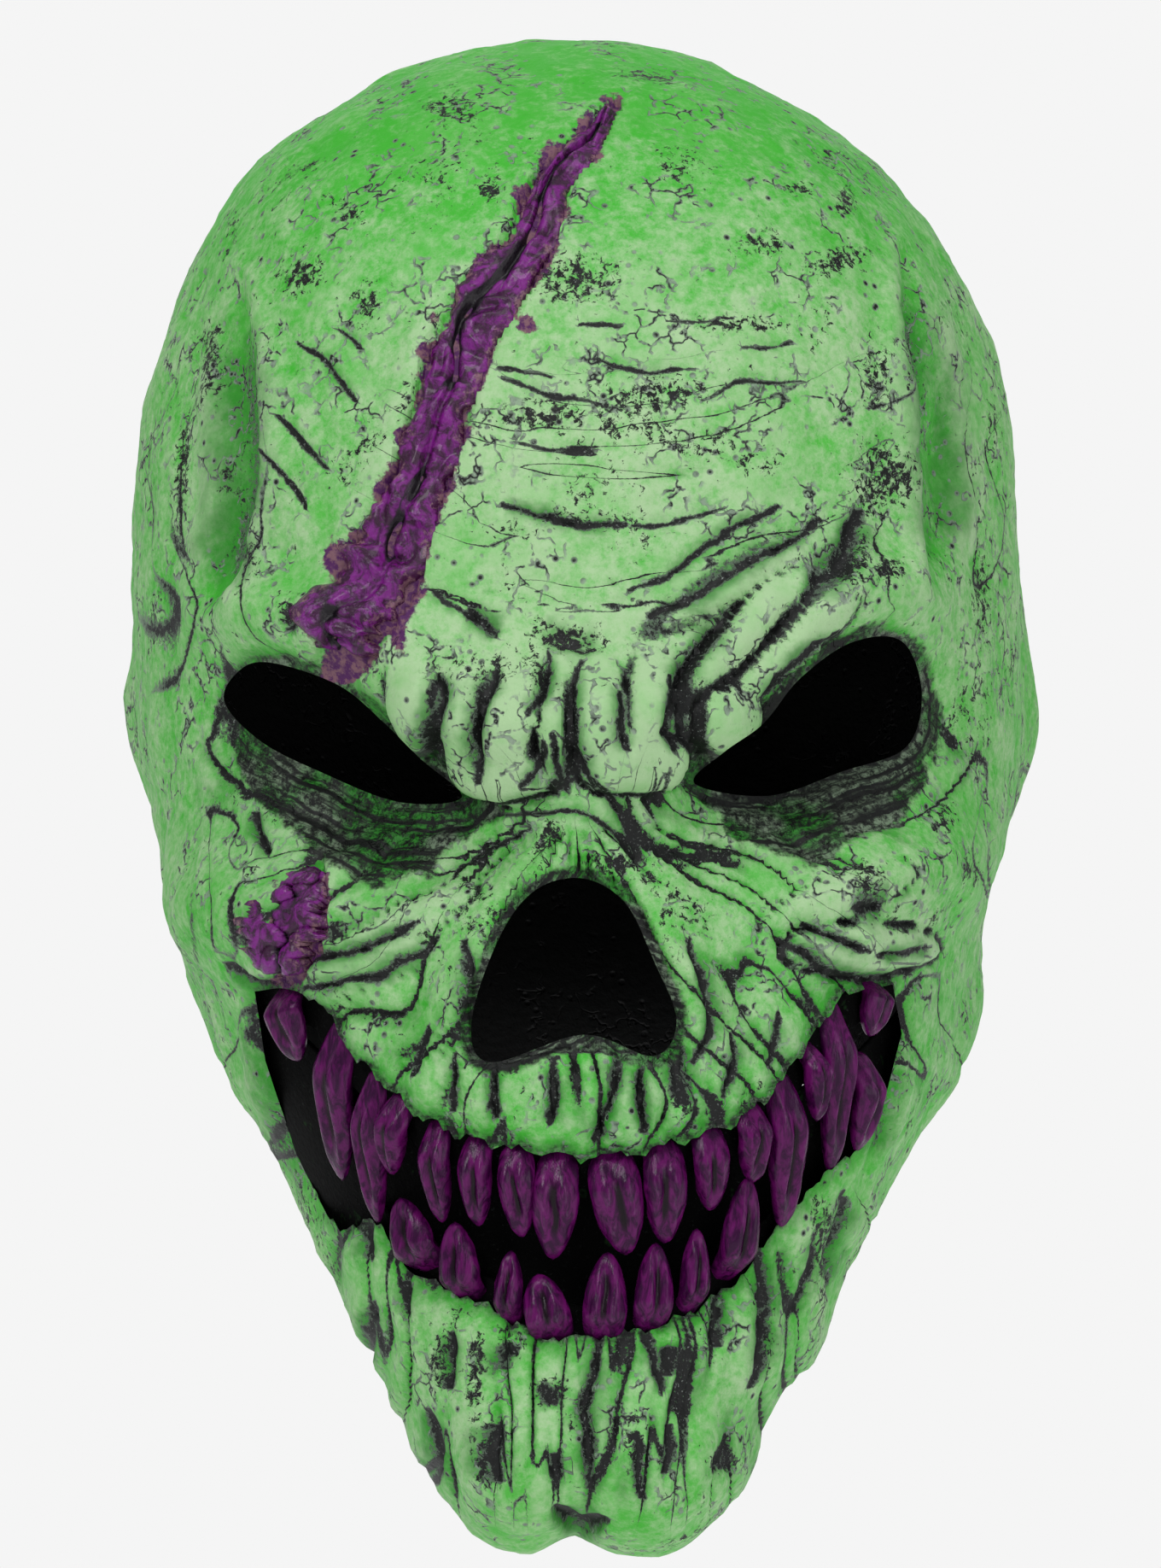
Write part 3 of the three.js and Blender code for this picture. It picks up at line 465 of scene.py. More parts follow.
# %% Creases drawn one by one: width in mm, depth in mm, then columns and rows
CREASES = {
    "left temple": (4.4, 3.0, (275, 330), (284, 480), (285, 557), (272, 639), (244, 710)),
    "right temple": (4.2, 3.0, (1062, 300), (1089, 480), (1095, 576), (1102, 690)),
    "forehead arc": (1.3, 1.2, (588, 598), (626, 608), (690, 617), (741, 623)),
    "forehead arc end": (0.9, 0.7, (741, 623), (790, 616), (850, 596)),
    "right diagonal": (1.2, 1.1, (729, 694), (792, 671), (856, 624), (913, 595)),
    "deep diagonal": (1.8, 1.6, (757, 729), (818, 703), (850, 671), (913, 639), (960, 606)),
    "right gouge": (2.8, 1.8, (1003, 588), (990, 640), (968, 672), (938, 708)),
    "outer eye fold": (1.5, 1.6, (977, 735), (926, 767), (898, 800), (888, 826)),
    "inner eye fold": (2.0, 1.8, (850, 726), (818, 761), (794, 799), (797, 850), (806, 884)),
    "middle crease": (1.3, 1.6, (681, 770), (671, 812), (674, 863), (684, 895), (697, 920)),
    "left middle crease": (1.2, 1.5, (644, 764), (636, 818), (622, 846)),
    "short middle crease": (1.2, 1.4, (652, 858), (655, 895), (660, 922)),
    "lower left crease": (1.1, 1.3, (616, 912), (636, 888), (640, 864)),
    "left lobe crease": (2.2, 1.8, (512, 790), (528, 824), (514, 863), (507, 886)),
    "second lobe crease": (1.6, 1.6, (584, 780), (575, 812), (566, 863), (572, 907)),
    "brow top left": (2.0, 1.6, (540, 712), (566, 730), (590, 752)),
    "right lobe crease": (1.3, 1.5, (729, 812), (720, 848), (731, 878)),
    "far right lobe crease": (1.5, 1.6, (783, 800), (778, 850), (788, 880)),
    "bridge upper arch": (1.0, 1.0, (578, 942), (622, 929), (656, 919), (686, 915), (703, 929)),
    "bridge arch": (0.9, 0.9, (588, 953), (632, 948), (666, 948), (693, 956), (723, 976), (742, 1003)),
    "bridge right fold": (1.3, 1.2, (693, 905), (723, 949), (740, 976), (752, 1012)),
    "bridge left fold": (1.0, 0.9, (534, 1037), (554, 1010), (588, 980), (622, 966)),
    "glabella": (2.6, 1.0, (630, 750), (665, 755), (706, 762)),
    "gash to brow": (1.0, 1.0, (505, 690), (522, 706), (540, 716)),
    "left brow pit": (1.6, 1.2, (338, 705), (345, 728), (340, 745)),
    "forehead line 1": (0.8, 0.7, (697, 424), (741, 437), (811, 431)),
    "forehead line 2": (0.7, 0.6, (869, 418), (900, 412), (926, 402)),
    "forehead line 3": (0.8, 0.7, (818, 475), (850, 462), (882, 450), (939, 446)),
    "forehead line 4": (0.7, 0.6, (582, 440), (620, 443), (652, 450)),
    "forehead line 5": (0.8, 0.6, (588, 450), (652, 469), (709, 478)),
    "forehead line 6": (0.7, 0.6, (677, 386), (705, 388), (735, 390)),
    "forehead line 7": (0.6, 0.5, (780, 383), (820, 381), (862, 381)),
    "forehead line 8": (0.7, 0.6, (600, 522), (650, 528), (700, 530)),
    "left diagonal 1": (1.0, 0.9, (346, 402), (378, 421), (400, 452), (416, 472)),
    "left diagonal 2": (0.8, 0.7, (390, 383), (410, 397), (426, 415)),
    "left diagonal 3": (1.0, 0.8, (330, 490), (360, 525), (388, 556)),
    "left diagonal 4": (0.9, 0.7, (310, 525), (340, 565), (362, 600)),
    "lip furrow 1": (1.5, 1.5, (582, 1246), (580, 1280), (583, 1312)),
    "lip furrow 2": (1.6, 1.6, (650, 1238), (646, 1280), (642, 1312)),
    "lip furrow 3": (1.8, 1.8, (724, 1218), (718, 1265), (702, 1305), (690, 1334)),
    "lip furrow 4": (1.8, 1.8, (750, 1238), (750, 1280), (752, 1322)),
    "lip furrow 5": (2.4, 1.5, (797, 1215), (794, 1250), (796, 1290)),
    "lip furrow 6": (1.5, 1.3, (856, 1205), (852, 1250), (848, 1290)),
    "lip furrow 7": (1.3, 1.3, (537, 1225), (533, 1262), (529, 1300)),
    "lip furrow 8": (1.2, 1.1, (498, 1190), (490, 1225), (484, 1262)),
    "lip furrow 9": (1.2, 1.1, (905, 1180), (900, 1215), (896, 1250)),
    "under the nose": (1.2, 0.9, (590, 1240), (640, 1226), (690, 1222), (745, 1226)),
    "left nose wing": (1.6, 1.4, (552, 1100), (556, 1150), (548, 1200), (560, 1240)),
    "right nose wing": (1.6, 1.4, (800, 1090), (820, 1150), (826, 1200), (806, 1246)),
    "right cheek fold": (1.6, 1.6, (907, 1098), (940, 1118), (964, 1136), (1028, 1146), (1086, 1120)),
    "right cheek slot": (1.4, 1.4, (930, 1076), (960, 1092), (1000, 1106)),
    "right cheek slot 2": (1.2, 1.3, (1004, 1112), (1040, 1108), (1072, 1096)),
    "right cheek pit": (2.8, 1.6, (985, 1060), (1010, 1056), (1030, 1062)),
    "left cheek fold": (1.5, 1.5, (340, 1142), (380, 1122), (440, 1108), (500, 1080)),
    "left cheek fold 2": (1.3, 1.3, (350, 1162), (420, 1150), (480, 1124), (520, 1092)),
    "left cheekbone crease": (1.6, 1.4, (301, 945), (308, 980), (322, 1004)),
    "left cheekbone end": (1.5, 1.4, (262, 1128), (300, 1150), (330, 1152)),
    "chin middle": (2.0, 1.7, (704, 1548), (692, 1614), (687, 1678), (684, 1732)),
    "chin cleft": (2.4, 1.8, (652, 1752), (677, 1774), (709, 1768)),
    "chin pit": (4.2, 2.0, (782, 1560), (782, 1580), (779, 1604)),
    "chin pit tail": (1.6, 1.3, (752, 1545), (765, 1590), (776, 1624)),
    "jaw right 1": (2.0, 1.6, (896, 1450), (892, 1500), (888, 1550), (875, 1622)),
    "jaw right 2": (1.8, 1.4, (842, 1486), (841, 1530), (838, 1572)),
    "jaw right 3": (1.8, 1.6, (986, 1388), (974, 1450), (964, 1510)),
    "jaw right 4": (1.2, 1.1, (946, 1430), (940, 1480), (928, 1530)),
    "jaw left 1": (1.8, 1.4, (528, 1545), (532, 1580), (530, 1622)),
    "jaw left 2": (1.5, 1.4, (438, 1520), (436, 1560), (431, 1600)),
    "jaw left 3": (1.5, 1.3, (473, 1490), (478, 1512), (480, 1535)),
    "jaw left 4": (1.6, 1.4, (420, 1395), (428, 1440), (434, 1475)),
    "chin left slot": (1.6, 1.5, (508, 1640), (512, 1690), (516, 1738)),
    "chin left patch": (3.4, 1.4, (584, 1652), (575, 1690), (578, 1724)),
    "chin upper left patch": (3.2, 1.3, (600, 1560), (590, 1585), (596, 1600)),
    "chin patch": (2.8, 1.1, (630, 1608), (648, 1630), (655, 1640)),
    "chin small patch": (2.0, 1.2, (650, 1686), (648, 1700), (651, 1716)),
    "chin right slot": (1.8, 1.2, (744, 1668), (748, 1710), (752, 1748)),
    "chin right slot 2": (1.8, 1.2, (778, 1652), (782, 1690), (778, 1720)),
    "chin right patch": (3.0, 1.0, (835, 1694), (843, 1702), (850, 1708)),
    "left edge seam": (2.2, 1.4, (300, 1165), (310, 1240), (330, 1320), (372, 1420)),
    "right edge seam": (1.6, 1.2, (1058, 1140), (1052, 1220), (1040, 1300), (1010, 1380)),
}


SOFT_FOLDS = ("left temple", "right temple", "glabella", "left edge seam", "right edge seam")


def creases_on(x, z):
    depth, ink, lips, valley_shade = (np.zeros_like(x) for _ in range(4))
    sides = [np.full_like(x, 9.0), np.full_like(x, 9.0)]
    nearest = [np.full_like(x, 9.0), np.full_like(x, 9.0)]
    wander = 0.0016 * (grain(x * 150, z * 150, 21) - 0.5) + 0.0006 * (grain(x * 500, z * 500, 22) - 0.5)
    for number, (name, (wide, deep, *marks)) in enumerate(CREASES.items()):
        path = smooth_path([on_face(*mark) for mark in marks], 3 * len(marks))
        gap, share, side = distance_to(path, x + wander, z - wander)
        taper = np.clip(4.5 * share * (1 - share) + 0.25, 0, 1)
        size = wide * 0.00055 * (0.5 + 0.5 * taper)
        broad = np.maximum(size, 0.0008)
        depth = np.maximum(depth, deep * np.exp(-((gap / broad) ** 2)) * taper * size / broad)
        heave = 2.2 if name in SOFT_FOLDS else 1.0
        lips = np.maximum(lips, heave * deep * np.exp(-(((gap - 2.1 * broad) / broad) ** 2)) * taper)
        # valley_shade is a soft zone round each crease, where a painted shade darkens the green
        valley_shade = np.maximum(valley_shade, min(deep / 1.5, 1) * np.exp(-((gap / (3 * broad)) ** 2)) * taper)
        if name in SOFT_FOLDS:
            ink = np.maximum(ink, 0.46 * np.exp(-((gap / (0.6 * size)) ** 2)) * taper)
            continue
        ended = (share < 0.004) | (share > 0.996)
        reach = np.minimum(gap / size + np.where(ended, 3.0, 0.0), 9.0)
        group = number % 2
        closer = reach < nearest[group]
        nearest[group] = np.where(closer, reach, nearest[group])
        sides[group] = np.where(closer, reach * side, sides[group])
    return depth, ink, lips, valley_shade, sides, nearest


# %% Wrinkles that flow
BRIDGE = on_face(671, 925)
FOREHEAD_CENTRE = on_face(720, 190)


def flowing(across, along, seed):
    strip = 0.72 * grain(across, along, seed) + 0.28 * grain(across * 2.2, along * 1.8, seed + 1) - 0.5
    return np.clip(np.abs(strip) * 3.6, 0, 1) ** 0.75, strip


def wrinkles_on(x, z, near_eyes):
    row = (WALL - z) / PIXEL + CROWN_ROW
    column = x / PIXEL + MIDDLE_COLUMN
    drift = grain(x * 70, z * 70, 31) - 0.5
    angle = np.arctan2(x - BRIDGE[0], BRIDGE[1] - z) + 0.22 * drift
    away = np.hypot(x - BRIDGE[0], BRIDGE[1] - z)
    ring = np.hypot(x - FOREHEAD_CENTRE[0], (z - FOREHEAD_CENTRE[1]) * 1.15)
    middle = np.abs(column - 680)
    flows = {
        "rays": (flowing(angle * 12, away * 34, 41),
                 smooth(row, 930, 985) * smooth(1375 - row, 0, 50) * smooth(430 - middle, 0, 90), 1.3, 0.05),
        "upright": (flowing(x * 250 + 1.6 * drift, z * 34, 51),
                    smooth(row, 1375, 1440) * smooth(1790 - row, 0, 70), 1.1, 0.045),
        "arcs": (flowing(ring * 240 + 1.2 * drift, np.arctan2(x, FOREHEAD_CENTRE[1] - z) * 2.2, 61),
                 smooth(row, 380, 560) * smooth(765 - row, 0, 60)
                 * smooth(360 - np.abs(column - 740), 0, 140), 0.6, 0.026),
        "lids": (flowing(near_eyes * 400 + 1.5 * drift, x * 40, 71),
                 smooth(0.018 - near_eyes, 0, 0.008) * smooth(row, 850, 905)
                 * smooth(1060 - row, 0, 50), 1.0, 0.07),
        "sides": (flowing(x * 150 + 2 * drift, z * 26, 81),
                  smooth(middle, 300, 400) * smooth(row, 300, 600), 0.6, 0.02),
    }
    height, field, zones, width = (np.zeros_like(x) for _ in range(4))
    for (fold, strip), zone, rise, line in flows.values():
        height += zone * rise * (fold - 0.45)
        field += zone * strip
        zones += zone
        width += zone * line
    broken = smooth(grain(x * 110, z * 110, 91), 0.2, 0.6)
    share = np.maximum(zones, 1e-3)
    return height, field / share, width / share * np.clip(zones, 0, 1) * (0.35 + 0.65 * broken)


# %% Gashes: column, row, half width, in pixels of the view
FOREHEAD_GASH = [(722, 120, 6), (690, 166, 14), (645, 220, 23), (615, 295, 30), (560, 372, 35),
                 (527, 450, 36), (500, 545, 34), (474, 610, 36), (452, 665, 46), (416, 730, 44),
                 (404, 775, 30)]
CHEEK_GASH = [(374, 1018, 10), (360, 1050, 28), (350, 1090, 30), (343, 1135, 20)]


def gash_path(rows, samples):
    path = smooth_path(rows, samples)
    places = np.array([on_face(column, row) for column, row, half in path])
    return places, path[:, 2] * PIXEL


def gash_closeness(x, z):
    closest = np.full(x.shape, 9.0)
    for rows in (FOREHEAD_GASH, CHEEK_GASH):
        places, halves = gash_path(rows, 44)
        gap, share, side = distance_to(places, x, z)
        half = np.interp(share, np.linspace(0, 1, len(halves)), halves)
        closest = np.minimum(closest, gap - half)
    return closest


# %% Worn patches: column, row, half width, half height, tilt to the right
PATCHES = [
    (518, 128, 30, 14, 20), (575, 223, 18, 22, 30), (406, 249, 34, 12, 35), (355, 325, 30, 26, -20),
    (269, 255, 16, 30, 10), (757, 86, 46, 14, 10), (933, 223, 24, 10, 0), (990, 236, 16, 24, 0),
    (891, 290, 30, 16, 0), (671, 332, 60, 34, 0), (1022, 440, 16, 44, 0), (430, 360, 18, 30, 0),
    (760, 470, 80, 26, -8), (640, 490, 60, 20, 0), (860, 385, 60, 12, 0), (980, 310, 44, 18, -20),
    (665, 751, 44, 18, 0), (995, 655, 20, 40, 10), (1040, 670, 18, 16, 0), (1030, 560, 40, 50, 0),
    (300, 655, 16, 22, 0), (340, 720, 14, 26, 0), (250, 420, 14, 60, 0), (215, 540, 12, 60, 0),
    (1102, 957, 24, 24, 0), (1137, 1015, 14, 26, 0), (1010, 1030, 20, 26, 0), (330, 1150, 16, 34, 0),
    (640, 985, 16, 30, 20), (720, 1010, 40, 16, 0), (395, 1190, 24, 24, 0), (880, 1300, 20, 40, 10),
    (796, 1280, 16, 34, 0), (600, 1560, 20, 30, 0), (646, 1621, 26, 20, 0), (575, 1690, 18, 44, 0),
    (843, 1702, 22, 18, 0), (740, 1680, 14, 40, 0), (960, 1450, 16, 70, 0), (892, 1540, 12, 60, 0),
    (560, 1600, 14, 60, 0), (520, 1590, 12, 40, 0), (1150, 700, 16, 60, 0), (1170, 480, 12, 60, 0),
]
STAINS = [(618, 386, 15, 11), (488, 676, 13, 42), (395, 655, 16, 26), (470, 740, 12, 30), (330, 1150, 18, 12)]
LEFT_LID = [(286, 790), (268, 850), (280, 905), (326, 962), (376, 1003), (430, 1032), (492, 1030), (548, 980),
            (590, 945), (560, 922), (470, 860), (380, 790)]
RIGHT_LID = [(800, 912), (826, 950), (868, 988), (914, 1010), (972, 1003), (1051, 955), (1088, 900),
             (1102, 840), (1088, 770), (1052, 742), (990, 742), (900, 830)]


def patches_on(x, z):
    busy = np.zeros_like(x)
    for column, row, half_width, half_height, tilt in PATCHES:
        cx, cz = on_face(column, row)
        turn = math.radians(tilt)
        across = ((x - cx) * math.cos(turn) - (z - cz) * math.sin(turn)) / (half_width * PIXEL)
        up = ((x - cx) * math.sin(turn) + (z - cz) * math.cos(turn)) / (half_height * PIXEL)
        busy = np.maximum(busy, np.exp(-((across**2 + up**2) ** 1.3)))
    return busy


def lids_on(x, z):
    dark = np.zeros_like(x)
    for lid in (LEFT_LID, RIGHT_LID):
        outline = smooth_path([on_face(*place) for place in lid], 60, closed=True)
        gap = distance_to(outline, x, z, closed=True)[0]
        deep = np.where(inside_of(outline, x, z), gap, -gap)
        dark = np.maximum(dark, smooth(deep + 0.003 * (grain(x * 300, z * 300, 103) - 0.5), -0.0022, 0.0036))
    return dark


# %% All the marks together
def carve(point, out):
    x, y, z = point[:, 0], point[:, 1], point[:, 2]
    share = front_share(out)
    row, column = (WALL - z) / PIXEL + CROWN_ROW, x / PIXEL + MIDDLE_COLUMN
    outlines = {name: distance_to(path, x, z, closed=True)[0] for name, path in OPENINGS.items()}
    near_eyes = np.minimum(outlines["left_eye"], outlines["right_eye"])
    near_edge = np.minimum.reduce(list(outlines.values()))
    lobe, seam = lobes_on(x, z)
    depth, ink, lips, valley_shade, sides, nearest = creases_on(x, z)
    wrinkle, field, width = wrinkles_on(x, z, near_eyes)
    calm = 1 - 0.8 * smooth(lobe, 0.2, 1.2)
    gash = gash_closeness(x, z)
    beside_gash = np.exp(-(((gash - 0.0022) / 0.0018) ** 2))
    broad_lump = 1.2 * (grain(x * 95, y * 95, 11, z * 95) - 0.5)
    lump = broad_lump + 0.7 * (grain(x * 210, y * 210, 12, z * 210) - 0.5)
    fine = 0.3 * (grain(x * 520, y * 520, 13, z * 520) - 0.5)
    line = np.exp(-((field / 0.05) ** 2)) * np.clip(width / 0.05, 0, 1)
    height = share * (lobe + wrinkle * calm + 0.25 * lips + 0.5 * beside_gash) + lump + fine
    height = height - share * np.maximum(np.maximum(depth, 0.6 * line * calm), 1.0 * seam)
    height = height - share * 1.3 * np.exp(-((near_edge / 0.0024) ** 2))
    height = np.where(gash < 0, np.minimum(height, -1.2 * share), height)
    # The rims of the openings, the nostrils and the lids are darkened: partly black paint round the holes,
    # partly painted shade in the sockets, under the brow and on the rolled edges
    rim = np.exp(-((near_edge / 0.0012) ** 2))
    nostril = np.exp(-((outlines["nose"] / 0.0022) ** 2))
    shade = np.maximum.reduce([0.6 * rim, nostril, 1.3 * lids_on(x, z)])
    stain = smooth(0.0026 + 0.004 * (grain(x * 330, z * 330, 111) - 0.5) - gash, 0, 0.0045)
    for spot_column, spot_row, half_width, half_height in STAINS:
        away = ((column - spot_column) / half_width) ** 2 + ((row - spot_row) / half_height) ** 2
        stain = np.maximum(stain, np.exp(-away))
    # Painted shade: the green is also darkened along flowing wrinkles, lobe seams and the edges of the
    # openings
    beside_flow = np.exp(-((field / 0.14) ** 2)) * np.clip(width / 0.04, 0, 1) * calm * 0.8
    beside_edge = 0.8 * np.exp(-((near_edge / 0.0028) ** 2))
    valley_shade = np.maximum.reduce([valley_shade, beside_flow, 1.2 * smooth(seam, 0, 0.8), beside_edge])
    # The paler green is partly dry-brushed paint on the high relief and partly a painted highlight, raised on
    # the forehead and the brow and lowered towards the crown
    forehead = np.exp(-(((column - 730) / 300) ** 2) - ((row - 560) / 270) ** 2)
    brow = np.exp(-(((column - 690) / 260) ** 2) - ((row - 820) / 110) ** 2)
    brushed_and_lit_pale = 0.42 + 0.27 * forehead + 0.17 * brow + 0.2 * np.clip(height, -1.5, 2.2)
    brushed_and_lit_pale = brushed_and_lit_pale - 0.3 * smooth(430 - row, 0, 330)
    return np.clip(height, -2.1, 5) * 0.001, {
        "crease": np.clip(share * np.maximum(ink, seam), 0, 1),
        "flow": field,
        "flow_width": width * share * calm,
        "line_a": sides[0],
        "line_a_near": share * smooth(4.5 - nearest[0], 0, 2.5),
        "line_b": sides[1],
        "line_b_near": share * smooth(4.5 - nearest[1], 0, 2.5),
        "busy": share * patches_on(x, z),
        "lid_gap": near_eyes * 1000,
        "shade": np.clip(share * shade, 0, 1),
        "valley_shade": np.clip(share * valley_shade, 0, 1),
        "stain": stain * share,
        # raised carries the paler share: dry-brush wear and a painted highlight
        "raised": np.clip(brushed_and_lit_pale, 0, 1),
    }


# %% [markdown]
# ## The latex skin
# The real skin is poured into a mould, so it follows the carving outside and is smoother inside. Here it
# starts as a ball with its poles at the crown and under the chin. The columns and rows of the ball are
# crowded on the face, where the carving is fine, and each point is moved onto the head. A second, coarser
# ball makes the hollow, and Boolean modifiers cut out the hollow, the openings and the neck.

# %% A ball moved onto the head
COLUMN_WEIGHT = [(0, 1.0), (0.9, 1.0), (1.4, 0.75), (1.8, 0.35), (math.pi, 0.16)]
ROW_WEIGHT = [(0, 0.5), (0.6, 0.8), (0.9, 1.0), (2.9, 1.0), (math.pi, 0.6)]


def spread(even, weight):
    fine = np.linspace(0, math.pi, 2001)
    total = np.concatenate([[0], np.cumsum((weight(fine)[1:] + weight(fine)[:-1]) / 2)])
    return np.interp(even, total / total[-1] * math.pi, fine)


def column_weight(turn):
    reference = head_point(turn, np.full_like(turn, 1.75))
    length = np.linalg.norm(np.gradient(reference, axis=0), axis=1)
    return length * np.interp(turn, *zip(*COLUMN_WEIGHT))


def row_weight(polar):
    reference = head_point(np.full_like(polar, 0.0), polar)
    length = np.linalg.norm(np.gradient(reference, axis=0), axis=1) + 1e-7
    return length * np.interp(polar, *zip(*ROW_WEIGHT))


def points_of(piece, kind="co"):
    spots = np.empty(len(piece.data.vertices) * 3)
    piece.data.vertices.foreach_get(kind, spots)
    return spots.reshape(-1, 3)


def head_ball(name, columns, rows):
    bpy.ops.object.select_all(action="DESELECT")
    bpy.ops.mesh.primitive_uv_sphere_add(segments=columns, ring_count=rows, radius=1)
    ball = bpy.context.object
    ball.name = name
    spots = points_of(ball)
    turn = np.arctan2(spots[:, 0], -spots[:, 1])
    polar = np.arccos(np.clip(spots[:, 2], -1, 1))
    turn = np.sign(turn) * spread(np.abs(turn), column_weight)
    return ball, turn, spread(polar, row_weight)


def place_points(piece, points):
    piece.data.vertices.foreach_set("co", np.asarray(points, float).ravel())
    piece.data.update()


SKIN_BALL = (380, 256)
HOLLOW_BALL = (110, 80)
mask, turn, polar = head_ball("latex_skin", *SKIN_BALL)
formed = formed_point(turn, polar)
outward = facing(formed_point, turn, polar)
height, marks = carve(formed, outward)
skin_points = formed + outward * height[:, None]
place_points(mask, skin_points)
print("skin", len(mask.data.polygons), "faces, carved", round(height.min() * 1000, 1), "to",
      round(height.max() * 1000, 1), "mm")

hollow, hollow_turn, hollow_polar = head_ball("hollow", *HOLLOW_BALL)
inner = formed_point(hollow_turn, hollow_polar)
place_points(hollow, inner - facing(formed_point, hollow_turn, hollow_polar) * WALL)


# %% Cutters for the openings and the neck
def prism(name, outline, start, along):
    bpy.ops.object.select_all(action="DESELECT")
    bpy.ops.mesh.primitive_circle_add(vertices=len(outline), radius=1, fill_type="NGON")
    cutter = bpy.context.object
    cutter.name = name
    place_points(cutter, start + outline)
    bpy.ops.object.mode_set(mode="EDIT")
    bpy.ops.mesh.select_all(action="SELECT")
    bpy.ops.mesh.extrude_region_move(TRANSFORM_OT_translate={"value": along})
    bpy.ops.mesh.select_all(action="SELECT")
    bpy.ops.mesh.normals_make_consistent(inside=False)
    bpy.ops.object.mode_set(mode="OBJECT")
    return cutter


NECK_RIM = [(-0.335, 1.04), (-0.27, 0.95), (-0.19, 0.86), (-0.1, 0.785), (0.02, 0.73), (0.2, 0.705),
            (0.7, 0.7)]
rim = smooth_path([(behind * HEAD_DEPTH, WALL - down * FACE_HEIGHT) for behind, down in NECK_RIM], 60)
below = WALL - 1.2 * FACE_HEIGHT
rim = np.vstack([rim, [(rim[-1, 0], below), (rim[0, 0], below)]])
side_outline = np.column_stack([np.zeros(len(rim)), rim[:, 0], rim[:, 1]])
cutters = [prism("neck_cut", side_outline, np.array([-0.2, 0, 0]), (0.4, 0, 0))]
for name, path in OPENINGS.items():
    outline = np.column_stack([path[:, 0], np.zeros(len(path)), path[:, 1]])
    cutters.append(prism(name + "_cut", outline, np.array([0, -0.3, 0]), (0, 0.28, 0)))
print("cutters", [cutter.name for cutter in cutters])


# %% Cut the skin
def cut(piece, cutter):
    bpy.ops.object.select_all(action="DESELECT")
    bpy.context.view_layer.objects.active = piece
    piece.select_set(True)
    knife = piece.modifiers.new("cut", "BOOLEAN")
    knife.operation = "DIFFERENCE"
    knife.solver = "MANIFOLD"
    knife.object = cutter
    bpy.ops.object.modifier_apply(modifier=knife.name)
    bpy.data.objects.remove(cutter)


for cutter in [hollow, *cutters]:
    cut(mask, cutter)
print("skin after the cuts", len(mask.data.vertices), "points")


# %% Remember the marks on the cut skin
def remember(piece, name, values):
    layer = piece.data.attributes.new(name, "FLOAT", "POINT")
    layer.data.foreach_set("value", np.asarray(values, np.float32))


tree = KDTree(len(skin_points))
for index, place in enumerate(skin_points):
    tree.insert(place, index)
tree.balance()
found = [tree.find(vertex.co) for vertex in mask.data.vertices]
source = np.array([index for place, index, gap in found])
outside = np.array([1.0 - smooth(gap, 0.0009, 0.0014) for place, index, gap in found])
for name, values in marks.items():
    remember(mask, name, values[source])
remember(mask, "inside", 1 - outside)
triangles = sum(len(face.vertices) - 2 for face in mask.data.polygons)
print("skin", triangles, "triangles,", int(outside.sum()), "points outside")
bpy.ops.object.select_all(action="DESELECT")
mask.select_set(True)
bpy.context.view_layer.objects.active = mask
bpy.ops.object.shade_smooth_by_angle(angle=math.radians(50))

# %% [markdown]
# ## Gore in the gashes
# The wounds are filled with glossy purple lumps. A flat grid is laid along the wound, its
# edges are tucked under the skin and its middle is raised in rounded lumps. Solidify makes it a closed body.


# %% A strip of gore
def give_body(sheet, thickness, offset=-1.0):
    solidify = sheet.modifiers.new("body", "SOLIDIFY")
    solidify.thickness = thickness
    solidify.offset = offset
    bpy.ops.object.modifier_apply(modifier=solidify.name)


